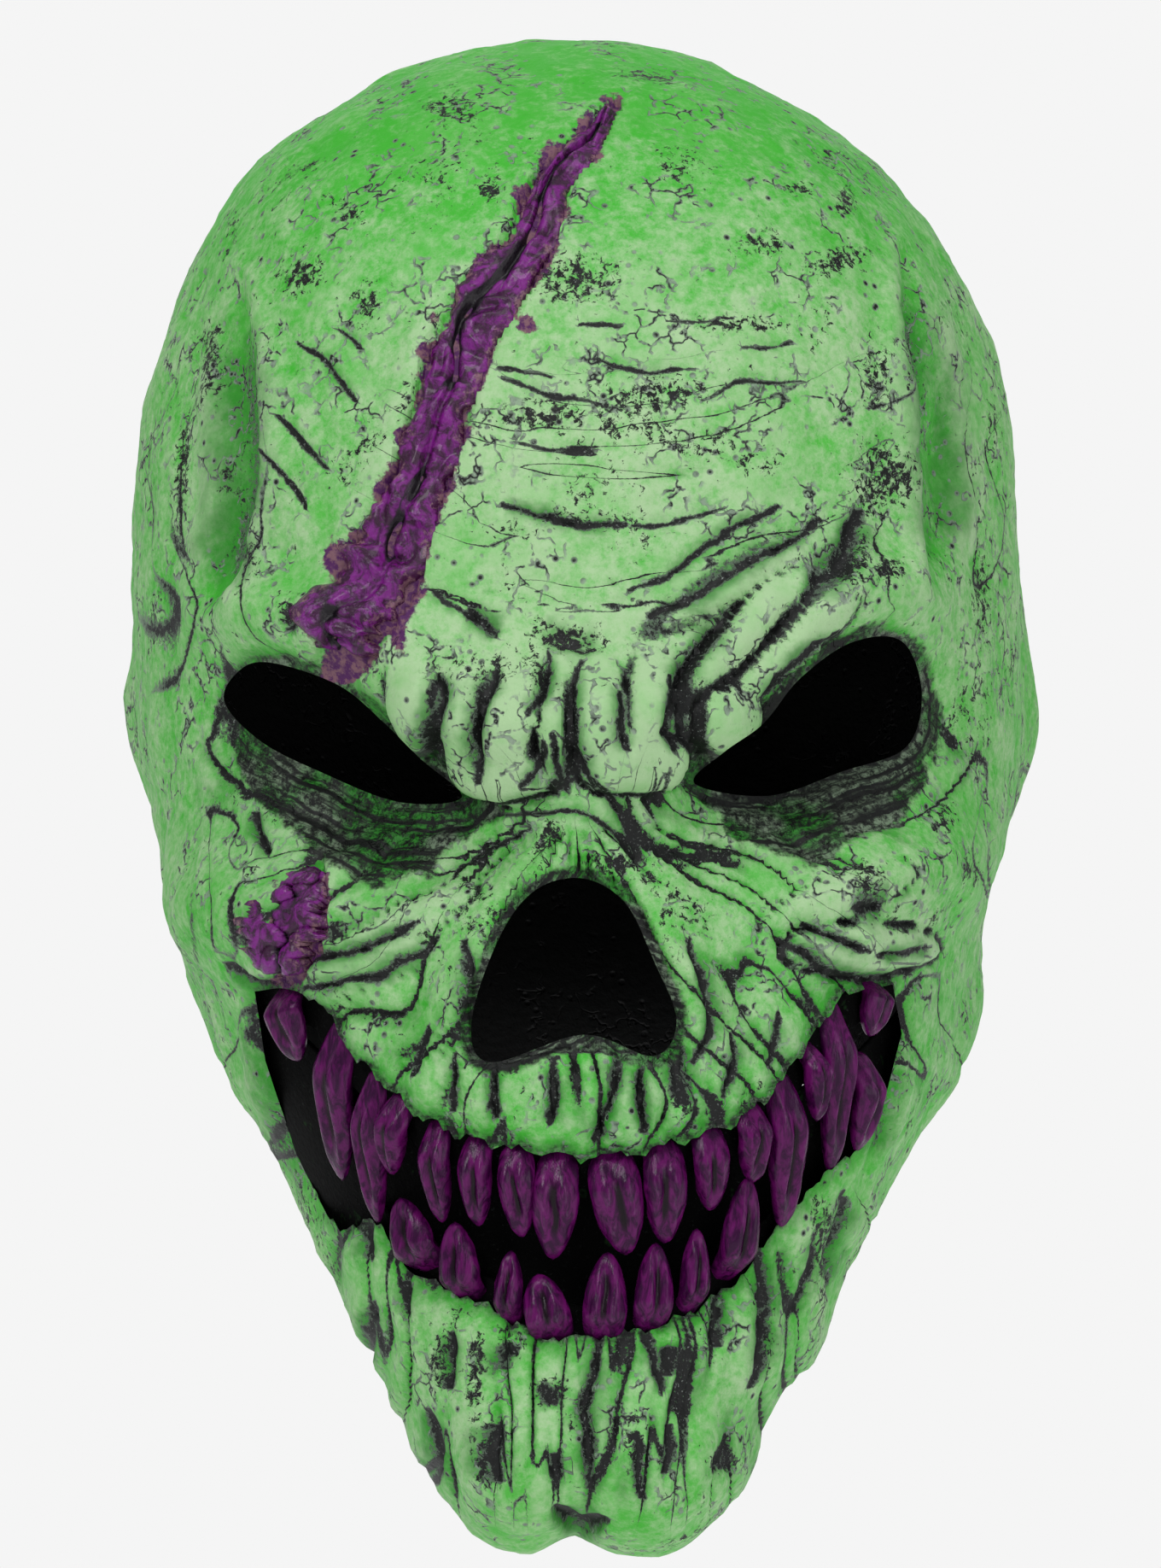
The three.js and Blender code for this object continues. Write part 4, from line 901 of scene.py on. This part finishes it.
def gore_strip(name, rows, across, along, lump, seed):
    bpy.ops.object.select_all(action="DESELECT")
    bpy.ops.mesh.primitive_grid_add(x_subdivisions=across, y_subdivisions=along, size=2)
    strip = bpy.context.object
    strip.name = name
    u, v = points_of(strip)[:, :2].T
    places, halves = gash_path(rows, 200)
    share = (1 - v) / 2
    steps = np.linspace(0, 1, 200)
    cx, cz = np.interp(share, steps, places[:, 0]), np.interp(share, steps, places[:, 1])
    half = np.interp(share, steps, halves) + 0.0008
    run = np.gradient(places, axis=0)
    run = run / np.linalg.norm(run, axis=1, keepdims=True)
    tx, tz = np.interp(share, steps, run[:, 0]), np.interp(share, steps, run[:, 1])
    ragged = 1 + (0.9 * (grain(share * 26, np.sign(u), seed) - 0.5)
                  + 0.35 * (grain(share * 70, np.sign(u), seed + 5) - 0.5)) * np.abs(u) ** 1.5
    x, z = cx - tz * u * half * ragged, cz + tx * u * half * ragged
    bend = 1.6 * grain(x * 120, z * 120, seed + 6)
    knobs = 1 - np.abs(2 * grain(x * 170 + bend, z * 150 - bend, seed + 1) - 1)
    strands = np.abs(2 * grain(u * 2.6 + bend, share * along / 12, seed + 2) - 1)
    beads = grain(x * 520, z * 520, seed + 4)
    trench = np.exp(-(((u - 0.9 * (grain(share * 12, share * 0, seed + 3) - 0.5)) / 0.13) ** 2))
    crown = np.clip(1 - u**4, 0, 1)
    swollen = lump * (1 + 0.7 * smooth(share, 0.5, 0.85))
    raised = crown * (0.1 + swollen * (1.5 * knobs**1.5 + 1.1 * strands + 0.35 * beads - 0.5) - 1.5 * trench)
    raised = raised - 1.2 * np.abs(u) ** 6
    ends = smooth(np.minimum(share, 1 - share), 0, 0.03)
    raised = raised * ends - 1.3 * (1 - ends)
    place_points(strip, skin_point(x, z, -0.001 * (raised - 0.55)))
    remember(strip, "crest", np.clip(raised / 2.4, 0, 1))
    remember(strip, "edge", np.abs(u))
    remember(strip, "crevice", np.clip(trench + 0.6 - 1.6 * strands, 0, 1) * crown)
    bpy.ops.object.shade_smooth()
    give_body(strip, GORE_WALL, -1 if strip.data.polygons[0].normal.y < 0 else 1)
    print(name, len(strip.data.polygons), "faces")
    return strip


forehead_gore = gore_strip("forehead_gore", FOREHEAD_GASH, 44, 300, 1.0, 201)
cheek_gore = gore_strip("cheek_gore", CHEEK_GASH, 30, 70, 0.8, 301)

# %% [markdown]
# ## Teeth
# The teeth are hard-looking latex seeds: narrow at the root, broad above the middle, pointed, with a furrow
# down the front between two ridges. One ball is drawn out into each tooth between its root and its point,
# which lie where the solid teeth lie.


# %% Draw out a tooth
TOOTH_BALL = (40, 30)


def carve_tooth(name, row, root_down, point_down, seed):
    x, _, _, wide, lean = row
    bpy.ops.object.select_all(action="DESELECT")
    bpy.ops.mesh.primitive_uv_sphere_add(segments=TOOTH_BALL[0], ring_count=TOOTH_BALL[1], radius=1)
    tooth = bpy.context.object
    tooth.name = name
    spots = points_of(tooth)
    depth = WALL - TOOTH_DEPTH / 2
    root = skin_point(x * HALF_WIDTH, WALL - root_down * FACE_HEIGHT, depth)
    point = skin_point((x + lean) * HALF_WIDTH, WALL - point_down * FACE_HEIGHT, depth + TOOTH_SINK)
    turn, polar = angles_at(np.array(x * HALF_WIDTH), np.array(WALL - root_down * FACE_HEIGHT))
    out = facing(formed_point, turn, polar)
    axis = root - point
    length = np.linalg.norm(axis)
    axis = axis / length
    across = np.cross(axis, out)
    across = across / np.linalg.norm(across)
    ahead = np.cross(across, axis)
    half = 1.08 * wide * HALF_WIDTH / 2 / max(abs(across[0]), 0.6)
    share = np.arccos(np.clip(spots[:, 2], -1, 1)) / math.pi
    girth = np.clip(share, 0, 1) ** 0.36 * (1 - share) ** 0.6 / 0.527
    around = np.arctan2(spots[:, 0], -spots[:, 1])
    side = np.sin(around) * girth
    front = np.cos(around) * girth
    facing_front = np.clip(np.cos(around), 0, 1)
    sway = 0.22 * (grain(share * 3, share * 0, seed) - 0.5)
    hollow_length = smooth(share, 0.12, 0.35) * smooth(0.92 - share, 0, 0.3)
    furrow = np.exp(-(((side - sway) / 0.2) ** 2)) * facing_front * hollow_length
    ridges = np.exp(-(((np.abs(side - sway) - 0.45) / 0.16) ** 2)) * facing_front
    knots = grain(around * 2.2, share * 7, seed + 1) - 0.5
    front = front - 0.46 * furrow + 0.16 * ridges + 0.12 * knots * girth
    side = side + 0.1 * knots * girth
    centre = root - axis * (share * (length + TOOTH_TUCK + 0.0006) - TOOTH_TUCK)[:, None]
    centre = centre - ahead * (0.0042 * (1 - smooth(share, 0.0, 0.36)))[:, None]
    points = centre + across * (side * half)[:, None] + ahead * (front * TOOTH_DEPTH / 2)[:, None]
    place_points(tooth, points)
    remember(tooth, "crest", np.clip(ridges * girth + 0.35 * knots, 0, 1))
    remember(tooth, "furrow", np.clip(furrow, 0, 1))
    bpy.ops.object.mode_set(mode="EDIT")
    bpy.ops.mesh.select_all(action="SELECT")
    bpy.ops.mesh.normals_make_consistent(inside=False)
    bpy.ops.object.mode_set(mode="OBJECT")
    bpy.ops.object.shade_smooth()
    return tooth


teeth = {}
for number, row in enumerate(UPPER_TEETH, 1):
    teeth[f"upper_tooth_{number}"] = carve_tooth(f"purple_upper_{number}", row, row[1], row[2], 400 + number)
for number, row in enumerate(LOWER_TEETH, 1):
    teeth[f"lower_tooth_{number}"] = carve_tooth(f"purple_lower_{number}", row, row[2], row[1], 500 + number)
print(len(teeth), "teeth")

# %% [markdown]
# ## Gums
# Behind each lip runs a wet black band that carries the teeth. A copy of the solid band keeps its place.
# Its loose triangles are merged, a voxel remesh gives it even faces, and the carving of vertical folds is
# pushed into its front.


# %% Dress a gum
GUM_GRAIN = 0.0009
MERGE_WITHIN = 0.00001


def dress_gum(name, node, seed):
    bpy.ops.object.select_all(action="DESELECT")
    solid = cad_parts[node]
    gum = bpy.data.objects.new(name, solid.data.copy())
    bpy.context.scene.collection.objects.link(gum)
    gum.select_set(True)
    bpy.context.view_layer.objects.active = gum
    bpy.ops.object.mode_set(mode="EDIT")
    bpy.ops.mesh.select_all(action="SELECT")
    bpy.ops.mesh.remove_doubles(threshold=MERGE_WITHIN)
    bpy.ops.object.mode_set(mode="OBJECT")
    gum.data.remesh_voxel_size = GUM_GRAIN
    bpy.ops.object.voxel_remesh()
    spots, normals = points_of(gum), points_of(gum, "normal")
    folds = grain(spots[:, 0] * 420, spots[:, 2] * 90, seed) - 0.5
    beads = grain(spots[:, 0] * 900, spots[:, 2] * 900, seed + 1) - 0.5
    place_points(gum, spots + normals * ((0.9 * folds + 0.35 * beads) * 0.001)[:, None])
    bpy.ops.object.shade_smooth()
    print(name, len(gum.data.polygons), "faces")
    return gum


upper_band = dress_gum("upper_gum_band", "upper_gum", 601)
lower_band = dress_gum("lower_gum_band", "lower_gum", 701)


# %% [markdown]
# ## Black skin across the mouth
# Behind the gums a thin black skin closes the mouth, so nothing shows between the teeth. A flat grid takes
# the curve of the face, a little further back, and each of its rows ends inside the wall of the mask.

# %% Hang the skin
CURTAIN_BACK = 0.0088
CURTAIN_TOP = (0.612, 0.705)
CURTAIN_FOOT = 0.885
CURTAIN_WALL = 0.0008
CURTAIN_GRID = (110, 70)
WIDEST_TURN = 1.5


def row_ends(polar):
    turns = np.linspace(-WIDEST_TURN, WIDEST_TURN, 121)
    across, down = np.meshgrid(turns, polar)
    spot = formed_point(across.ravel(), down.ravel())
    spot[:, 1] += CURTAIN_BACK
    middle = section_at(down.ravel())[2]
    wall = head_point(np.arctan2(spot[:, 0], middle - spot[:, 1]), down.ravel())
    reach = np.hypot(spot[:, 0], spot[:, 1] - middle)
    inside = reach < np.hypot(wall[:, 0], wall[:, 1] - middle) - 0.0013
    inside = inside.reshape(across.shape)
    left = np.max(np.where(~inside & (across < 0), across, -WIDEST_TURN), axis=1)
    right = np.min(np.where(~inside & (across > 0), across, WIDEST_TURN), axis=1)
    return left, right


bpy.ops.object.select_all(action="DESELECT")
bpy.ops.mesh.primitive_grid_add(x_subdivisions=CURTAIN_GRID[0], y_subdivisions=CURTAIN_GRID[1], size=2)
mouth_skin = bpy.context.object
mouth_skin.name = "mouth_skin"
u, v = points_of(mouth_skin)[:, :2].T
levels = np.linspace(CURTAIN_TOP[0], CURTAIN_FOOT, 60)
left_ends, right_ends = row_ends(np.arccos(1 - 2 * levels))
top_edge = CURTAIN_TOP[1] + (CURTAIN_TOP[0] - CURTAIN_TOP[1]) * smooth(np.abs(u), 0.35, 0.9)
down = CURTAIN_FOOT + (top_edge - CURTAIN_FOOT) * (v + 1) / 2
row_turn = np.where(u < 0, -u * np.interp(down, levels, left_ends), u * np.interp(down, levels, right_ends))
hung = formed_point(row_turn, np.arccos(1 - 2 * down))
hung[:, 1] += CURTAIN_BACK + 0.0012 * grain(hung[:, 0] * 150, hung[:, 2] * 90, 801) * (1 - u**4)
place_points(mouth_skin, hung)
bpy.ops.object.shade_smooth()
give_body(mouth_skin, CURTAIN_WALL)
print("mouth skin", len(mouth_skin.data.polygons), "faces")


# %% [markdown]
# ## Paint
# All paint is made from noise on object coordinates and from the marks that the carving left behind, so
# it needs no picture. A few helpers keep the node trees short.

# %% Node helpers
def linear(code):
    parts = [int(code[k:k + 2], 16) / 255 for k in (1, 3, 5)]
    return (*[p / 12.92 if p <= 0.04045 else ((p + 0.055) / 1.055) ** 2.4 for p in parts], 1)


class Paint:
    def __init__(self, name):
        self.material = bpy.data.materials.new(name)
        self.material.use_nodes = True
        self.nodes = self.material.node_tree.nodes
        self.links = self.material.node_tree.links
        self.shader = self.nodes["Principled BSDF"]
        self.place = self.nodes.new("ShaderNodeTexCoord").outputs["Object"]

    def put(self, value, socket):
        if isinstance(value, bpy.types.NodeSocket):
            self.links.new(value, socket)
        else:
            socket.default_value = value

    def mark(self, name):
        node = self.nodes.new("ShaderNodeAttribute")
        node.attribute_name = name
        return node.outputs["Fac"]

    def stretch(self, scale, turn=0.0):
        node = self.nodes.new("ShaderNodeMapping")
        node.inputs["Scale"].default_value = scale
        node.inputs["Rotation"].default_value = (0, turn, 0)
        self.links.new(self.place, node.inputs["Vector"])
        return node.outputs["Vector"]

    def noise(self, scale, detail=3.0, rough=0.55, warp=0.0, where=None):
        node = self.nodes.new("ShaderNodeTexNoise")
        node.inputs["Scale"].default_value = scale
        node.inputs["Detail"].default_value = detail
        node.inputs["Roughness"].default_value = rough
        node.inputs["Distortion"].default_value = warp
        self.links.new(where or self.place, node.inputs["Vector"])
        return node.outputs["Fac"]

    def along(self, mark, across, length, warp):
        split = self.nodes.new("ShaderNodeSeparateXYZ")
        joined = self.nodes.new("ShaderNodeCombineXYZ")
        self.links.new(self.place, split.inputs[0])
        run = self.math("MULTIPLY", self.mark(mark), across)
        bend = self.math("MULTIPLY", self.noise(110, 3), warp)
        self.links.new(self.math("ADD", run, bend), joined.inputs[0])
        self.links.new(self.math("MULTIPLY", split.outputs[0], length), joined.inputs[1])
        return joined.outputs[0]

    def swing(self, amount, *noise):
        return self.math("MULTIPLY", self.math("SUBTRACT", self.noise(*noise), 0.5), amount)

    def cells(self, scale, feature, where=None, output="Distance"):
        node = self.nodes.new("ShaderNodeTexVoronoi")
        node.feature = feature
        node.inputs["Scale"].default_value = scale
        self.links.new(where or self.place, node.inputs["Vector"])
        return node.outputs[output]

    def ramp(self, value, low, high):
        node = self.nodes.new("ShaderNodeMapRange")
        node.interpolation_type = "SMOOTHSTEP"
        self.put(value, node.inputs["Value"])
        node.inputs["From Min"].default_value = low
        node.inputs["From Max"].default_value = high
        return node.outputs["Result"]

    def math(self, operation, a, b=0.0):
        node = self.nodes.new("ShaderNodeMath")
        node.operation = operation
        self.put(a, node.inputs[0])
        self.put(b, node.inputs[1])
        return node.outputs["Value"]

    def mix(self, share, a, b):
        node = self.nodes.new("ShaderNodeMix")
        node.data_type = "RGBA"
        self.put(share, node.inputs["Factor"])
        self.put(a, node.inputs[6])
        self.put(b, node.inputs[7])
        return node.outputs[2]

    def bump(self, height, depth, strength=1.0):
        node = self.nodes.new("ShaderNodeBump")
        node.inputs["Distance"].default_value = depth
        node.inputs["Strength"].default_value = strength
        self.links.new(height, node.inputs["Height"])
        self.links.new(node.outputs["Normal"], self.shader.inputs["Normal"])

    def set(self, **values):
        for name, value in values.items():
            self.put(value, self.shader.inputs[name.replace("_", " ")])


# %% [markdown]
# ## Green over black
# The real skin is black rubber with green paint wiped over it, so black stays wherever the brush didn't
# reach: in creases, pits and cracks. The marks of the carving give the long lines, and noise breaks their
# edges and adds specks and cracks. One material holds both colours, because their ragged border is what
# shows the wear.

# %% Lines that stay black
def drawn_lines(paint, crease, rough_edge, uneven):
    lines = []
    for group in ("line_a", "line_b"):
        reach = paint.math("ABSOLUTE", paint.mark(group))
        reach = paint.math("ADD", reach, paint.math("MULTIPLY", rough_edge, 2.8))
        reach = paint.math("ADD", reach, paint.math("MULTIPLY", uneven, 2.4))
        line = paint.math("SUBTRACT", 1.0, paint.ramp(reach, 0.55, 1.15))
        lines.append(paint.math("MULTIPLY", line, paint.mark(group + "_near")))
    reach = paint.math("ABSOLUTE", paint.mark("flow"))
    wide = paint.math("ADD", 1.0, paint.math("MULTIPLY", rough_edge, 3.5))
    wide = paint.math("MULTIPLY", paint.mark("flow_width"), wide)
    flow = paint.ramp(paint.math("SUBTRACT", wide, reach), 0.0, 0.012)
    worn = paint.math("ADD", crease, paint.math("MULTIPLY", rough_edge, 1.1))
    deep = paint.math("MAXIMUM", flow, paint.ramp(worn, 0.34, 0.56))
    return paint.math("MAXIMUM", paint.math("MAXIMUM", lines[0], lines[1]), deep)


# %% Specks, cracks and pits
def worn_specks(paint, crease, busy):
    cluster = paint.math("MAXIMUM", paint.ramp(paint.noise(48, 2.5, 0.6, 0.6), 0.52, 0.7), busy)
    specks = paint.noise(700, 7, 0.74, 0.5)
    crowd = paint.math("ADD", paint.math("MULTIPLY", cluster, 0.13), paint.math("MULTIPLY", busy, 0.06))
    crowd = paint.math("ADD", crowd, paint.math("MULTIPLY", crease, 0.2))
    return paint.ramp(paint.math("ADD", specks, crowd), 0.66, 0.69)


def cracks_and_pits(paint):
    bent = paint.nodes.new("ShaderNodeVectorMath")
    bent.operation = "MULTIPLY_ADD"
    wobble = paint.nodes.new("ShaderNodeTexNoise")
    wobble.inputs["Scale"].default_value = 330
    paint.links.new(paint.place, wobble.inputs["Vector"])
    paint.links.new(wobble.outputs["Color"], bent.inputs[0])
    bent.inputs[1].default_value = (0.005, 0.005, 0.005)
    paint.links.new(paint.place, bent.inputs[2])
    edges = paint.cells(210, "DISTANCE_TO_EDGE", bent.outputs[0])
    crack = paint.math("SUBTRACT", 1.0, paint.ramp(edges, 0.01, 0.07))
    crack = paint.math("MULTIPLY", crack, paint.ramp(paint.noise(75, 3, 0.6, 0.5), 0.5, 0.6))
    crack = paint.math("MULTIPLY", crack, paint.ramp(paint.noise(420, 2), 0.4, 0.5))
    pit = paint.math("SUBTRACT", 1.0, paint.ramp(paint.cells(330, "F1"), 0.1, 0.24))
    pit = paint.math("MULTIPLY", pit, paint.ramp(paint.noise(90, 2), 0.5, 0.6))
    return paint.math("MAXIMUM", crack, pit)


# %% The brushed greens, with painted highlight and painted shade
def brushed_green_with_painted_light(paint, raised, uneven):
    # The paler green is partly dry-brush on the high spots and partly a painted highlight on the forehead and
    # the brow
    brushed_and_lit_pale = paint.math("ADD", paint.math("MULTIPLY", raised, 0.85), paint.noise(150, 5, 0.7))
    brushed_and_lit_pale = paint.math("ADD", brushed_and_lit_pale, paint.math("MULTIPLY", paint.noise(540, 5, 0.72), 1.3))
    green = paint.mix(paint.ramp(brushed_and_lit_pale, 1.12, 1.98), linear("#3CB42A"), linear("#AACD9A"))
    patch = paint.math("MULTIPLY", paint.ramp(paint.noise(60, 4, 0.7), 0.45, 0.65), 0.35)
    green = paint.mix(patch, green, linear("#62BC52"))
    # Painted shade: the green turns a darker, more saturated green in the hollows of creases, wrinkles, seams
    # and opening edges
    sunk_shade = paint.math("ADD", paint.mark("valley_shade"), paint.math("MULTIPLY", uneven, 0.8))
    sunk_shade = paint.math("MULTIPLY", paint.ramp(sunk_shade, 0.2, 1.0), 0.8)
    return paint.mix(sunk_shade, green, linear("#1A7A13"))


def black_and_shaded_lid(paint):
    # The lids are near black: black paint round the eyes together with painted shadow under the brow and in
    # the sockets; the green streaks are worn paint
    lid_black_and_shade = paint.mix(paint.ramp(paint.noise(1300, 3, 0.7), 0.6, 0.8), linear("#070A08"), linear("#3D4A3E"))
    run = paint.along("lid_gap", 0.75, 26, 2.2)
    streak = paint.ramp(paint.noise(1, 4, 0.62, where=run), 0.42, 0.58)
    worn_lid = paint.math("MULTIPLY", streak, paint.ramp(paint.noise(700, 5, 0.75), 0.4, 0.62))
    lid_green = paint.mix(paint.ramp(paint.noise(75, 3), 0.42, 0.6), linear("#7B8F76"), linear("#2F8A28"))
    return paint.mix(paint.math("MULTIPLY", worn_lid, 0.9), lid_black_and_shade, lid_green)


# %% The whole skin
def green_latex():
    paint = Paint("green_latex")
    crease, busy, inside = paint.mark("crease"), paint.mark("busy"), paint.mark("inside")
    uneven = paint.math("SUBTRACT", paint.noise(230, 3, 0.6), 0.5)
    rough_edge = paint.math("SUBTRACT", paint.noise(900, 5, 0.75), 0.5)
    drawn = drawn_lines(paint, crease, rough_edge, uneven)
    dark = paint.math("MAXIMUM", drawn, worn_specks(paint, crease, busy))
    dark = paint.math("MAXIMUM", dark, cracks_and_pits(paint))
    glint = paint.ramp(paint.noise(1900, 3, 0.7), 0.6, 0.72)
    black = paint.mix(glint, linear("#060807"), linear("#838B85"))
    colour = paint.mix(dark, brushed_green_with_painted_light(paint, paint.mark("raised"), uneven), black)
    fringe = paint.math("MULTIPLY", dark, paint.math("SUBTRACT", 1.0, dark))
    fringe = paint.math("MULTIPLY", paint.math("MULTIPLY", fringe, 3.6), 0.7)
    colour = paint.mix(fringe, colour, linear("#96A398"))
    # Lids and opening rims go near black: black paint together with painted shade
    shade_share = paint.math("ADD", paint.mark("shade"), paint.swing(1.2, 600, 5, 0.7))
    colour = paint.mix(paint.ramp(shade_share, 0.25, 0.7), colour, black_and_shaded_lid(paint))
    bruise = paint.mix(paint.ramp(paint.noise(560, 4, 0.7), 0.42, 0.6), linear("#4A1152"), linear("#7A5560"))
    blotch = paint.math("ADD", paint.mark("stain"), paint.swing(1.4, 520, 5, 0.7))
    colour = paint.mix(paint.ramp(blotch, 0.4, 0.62), colour, bruise)
    # The inside is near black: a plain finish, and a painted shade that keeps the openings dark
    colour = paint.mix(inside, colour, linear("#090A0A"))
    rough = paint.math("SUBTRACT", 0.64, paint.math("MULTIPLY", dark, 0.1))
    relief = paint.math("SUBTRACT", paint.math("MULTIPLY", paint.noise(560, 6, 0.62), 0.7), dark)
    paint.bump(relief, 0.0005, 0.9)
    paint.set(Base_Color=colour, Roughness=rough)
    paint.shader.inputs["Specular IOR Level"].default_value = 0.35
    return paint.material


# %% [markdown]
# ## Purple and black
# Gore and teeth are painted alike: a streaked dark purple with a painted highlight on the crests and painted
# shade, almost black, in the furrows, under a gloss. The gore also turns a mottled brown at its border. The
# bands and the skin behind the teeth are matt black, so the teeth stand out from them.

# %% Purple gore and teeth, black gums
def purple_gore():
    paint = Paint("purple_gore")
    crest, crevice = paint.mark("crest"), paint.mark("crevice")
    streak = paint.ramp(paint.noise(360, 5, 0.65, 0.8), 0.4, 0.62)
    base = paint.mix(streak, linear("#34062F"), linear("#7A1680"))
    # Painted highlight: the crests of the gore turn pale lavender
    light = paint.ramp(paint.noise(700, 5, 0.75), 0.52, 0.62)
    light = paint.math("MULTIPLY", paint.ramp(crest, 0.5, 1.0), light)
    colour = paint.mix(paint.math("MULTIPLY", light, 0.22), base, linear("#A78FAE"))
    # Painted shade: the crevices between the lumps go near black
    colour = paint.mix(paint.ramp(crevice, 0.35, 0.75), colour, linear("#0D030E"))
    border = paint.math("ADD", paint.mark("edge"), paint.swing(1.6, 300, 5, 0.7))
    mottle = paint.mix(paint.ramp(paint.noise(640, 4, 0.7), 0.45, 0.6), linear("#451040"), linear("#85606A"))
    colour = paint.mix(paint.ramp(border, 0.62, 0.85), colour, mottle)
    paint.bump(paint.noise(800, 5, 0.65), 0.0007, 0.7)
    paint.set(Base_Color=colour, Roughness=0.2)
    paint.shader.inputs["Specular IOR Level"].default_value = 0.3
    paint.shader.inputs["Coat Weight"].default_value = 0.2
    paint.shader.inputs["Coat Roughness"].default_value = 0.08
    return paint.material


def purple_tooth():
    paint = Paint("purple_tooth")
    crest, furrow = paint.mark("crest"), paint.mark("furrow")
    long = paint.stretch((1, 1, 0.28))
    streak = paint.noise(620, 5, 0.65, 0.6, long)
    base = paint.mix(paint.ramp(streak, 0.38, 0.64), linear("#300430"), linear("#62105A"))
    # Painted highlight: the ridges of each tooth turn pale lavender
    light = paint.ramp(paint.noise(760, 4, 0.7, 0, long), 0.5, 0.66)
    light = paint.math("MULTIPLY", paint.ramp(crest, 0.3, 0.9), light)
    colour = paint.mix(paint.math("MULTIPLY", light, 0.1), base, linear("#A08AA2"))
    # Painted shade: the furrow down the front of each tooth goes near black
    colour = paint.mix(paint.ramp(furrow, 0.35, 0.9), colour, linear("#12040F"))
    paint.bump(paint.noise(800, 4, 0.6, 0, long), 0.0004, 0.5)
    paint.set(Base_Color=colour, Roughness=0.24)
    paint.shader.inputs["Specular IOR Level"].default_value = 0.2
    return paint.material


def black_latex():
    paint = Paint("black_latex")
    glint = paint.ramp(paint.noise(1500, 4, 0.7), 0.6, 0.74)
    colour = paint.mix(glint, linear("#030303"), linear("#2A2E2C"))
    green = paint.ramp(paint.noise(160, 3, 0.7), 0.63, 0.7)
    colour = paint.mix(paint.math("MULTIPLY", green, 0.5), colour, linear("#1D3A1C"))
    paint.bump(paint.noise(700, 5, 0.65), 0.0005, 0.8)
    paint.set(Base_Color=colour, Roughness=0.75)
    paint.shader.inputs["Specular IOR Level"].default_value = 0.06
    return paint.material


def pale_floor():
    paint = Paint("pale_floor")
    colour = paint.mix(paint.noise(3, 2), (0.78, 0.78, 0.78, 1), (0.82, 0.82, 0.82, 1))
    paint.set(Base_Color=colour, Roughness=0.8, Emission_Color=colour, Emission_Strength=0.3)
    return paint.material


PAINTS = {
    "green_latex": green_latex(),
    "purple_gore": purple_gore(),
    "purple_tooth": purple_tooth(),
    "black_latex": black_latex(),
}
floor.data.materials.append(pale_floor())
print("paints", list(PAINTS))


# %% [markdown]
# ## Hand the pieces over
# Each dressed piece takes the place of its solid, rides on the one body, and names the finish that it has.

# %% Replace the solids
def hand_over(piece, node, finish):
    piece.data.materials.clear()
    piece.data.materials.append(PAINTS[finish])
    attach(piece, "root")
    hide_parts(node)


hand_over(mask, "mask_shell", "green_latex")
hand_over(forehead_gore, "forehead_gash", "purple_gore")
hand_over(cheek_gore, "cheek_gash", "purple_gore")
hand_over(upper_band, "upper_gum", "black_latex")
hand_over(lower_band, "lower_gum", "black_latex")
hand_over(mouth_skin, "mouth_lining", "black_latex")
for node, tooth in teeth.items():
    hand_over(tooth, node, "purple_tooth")
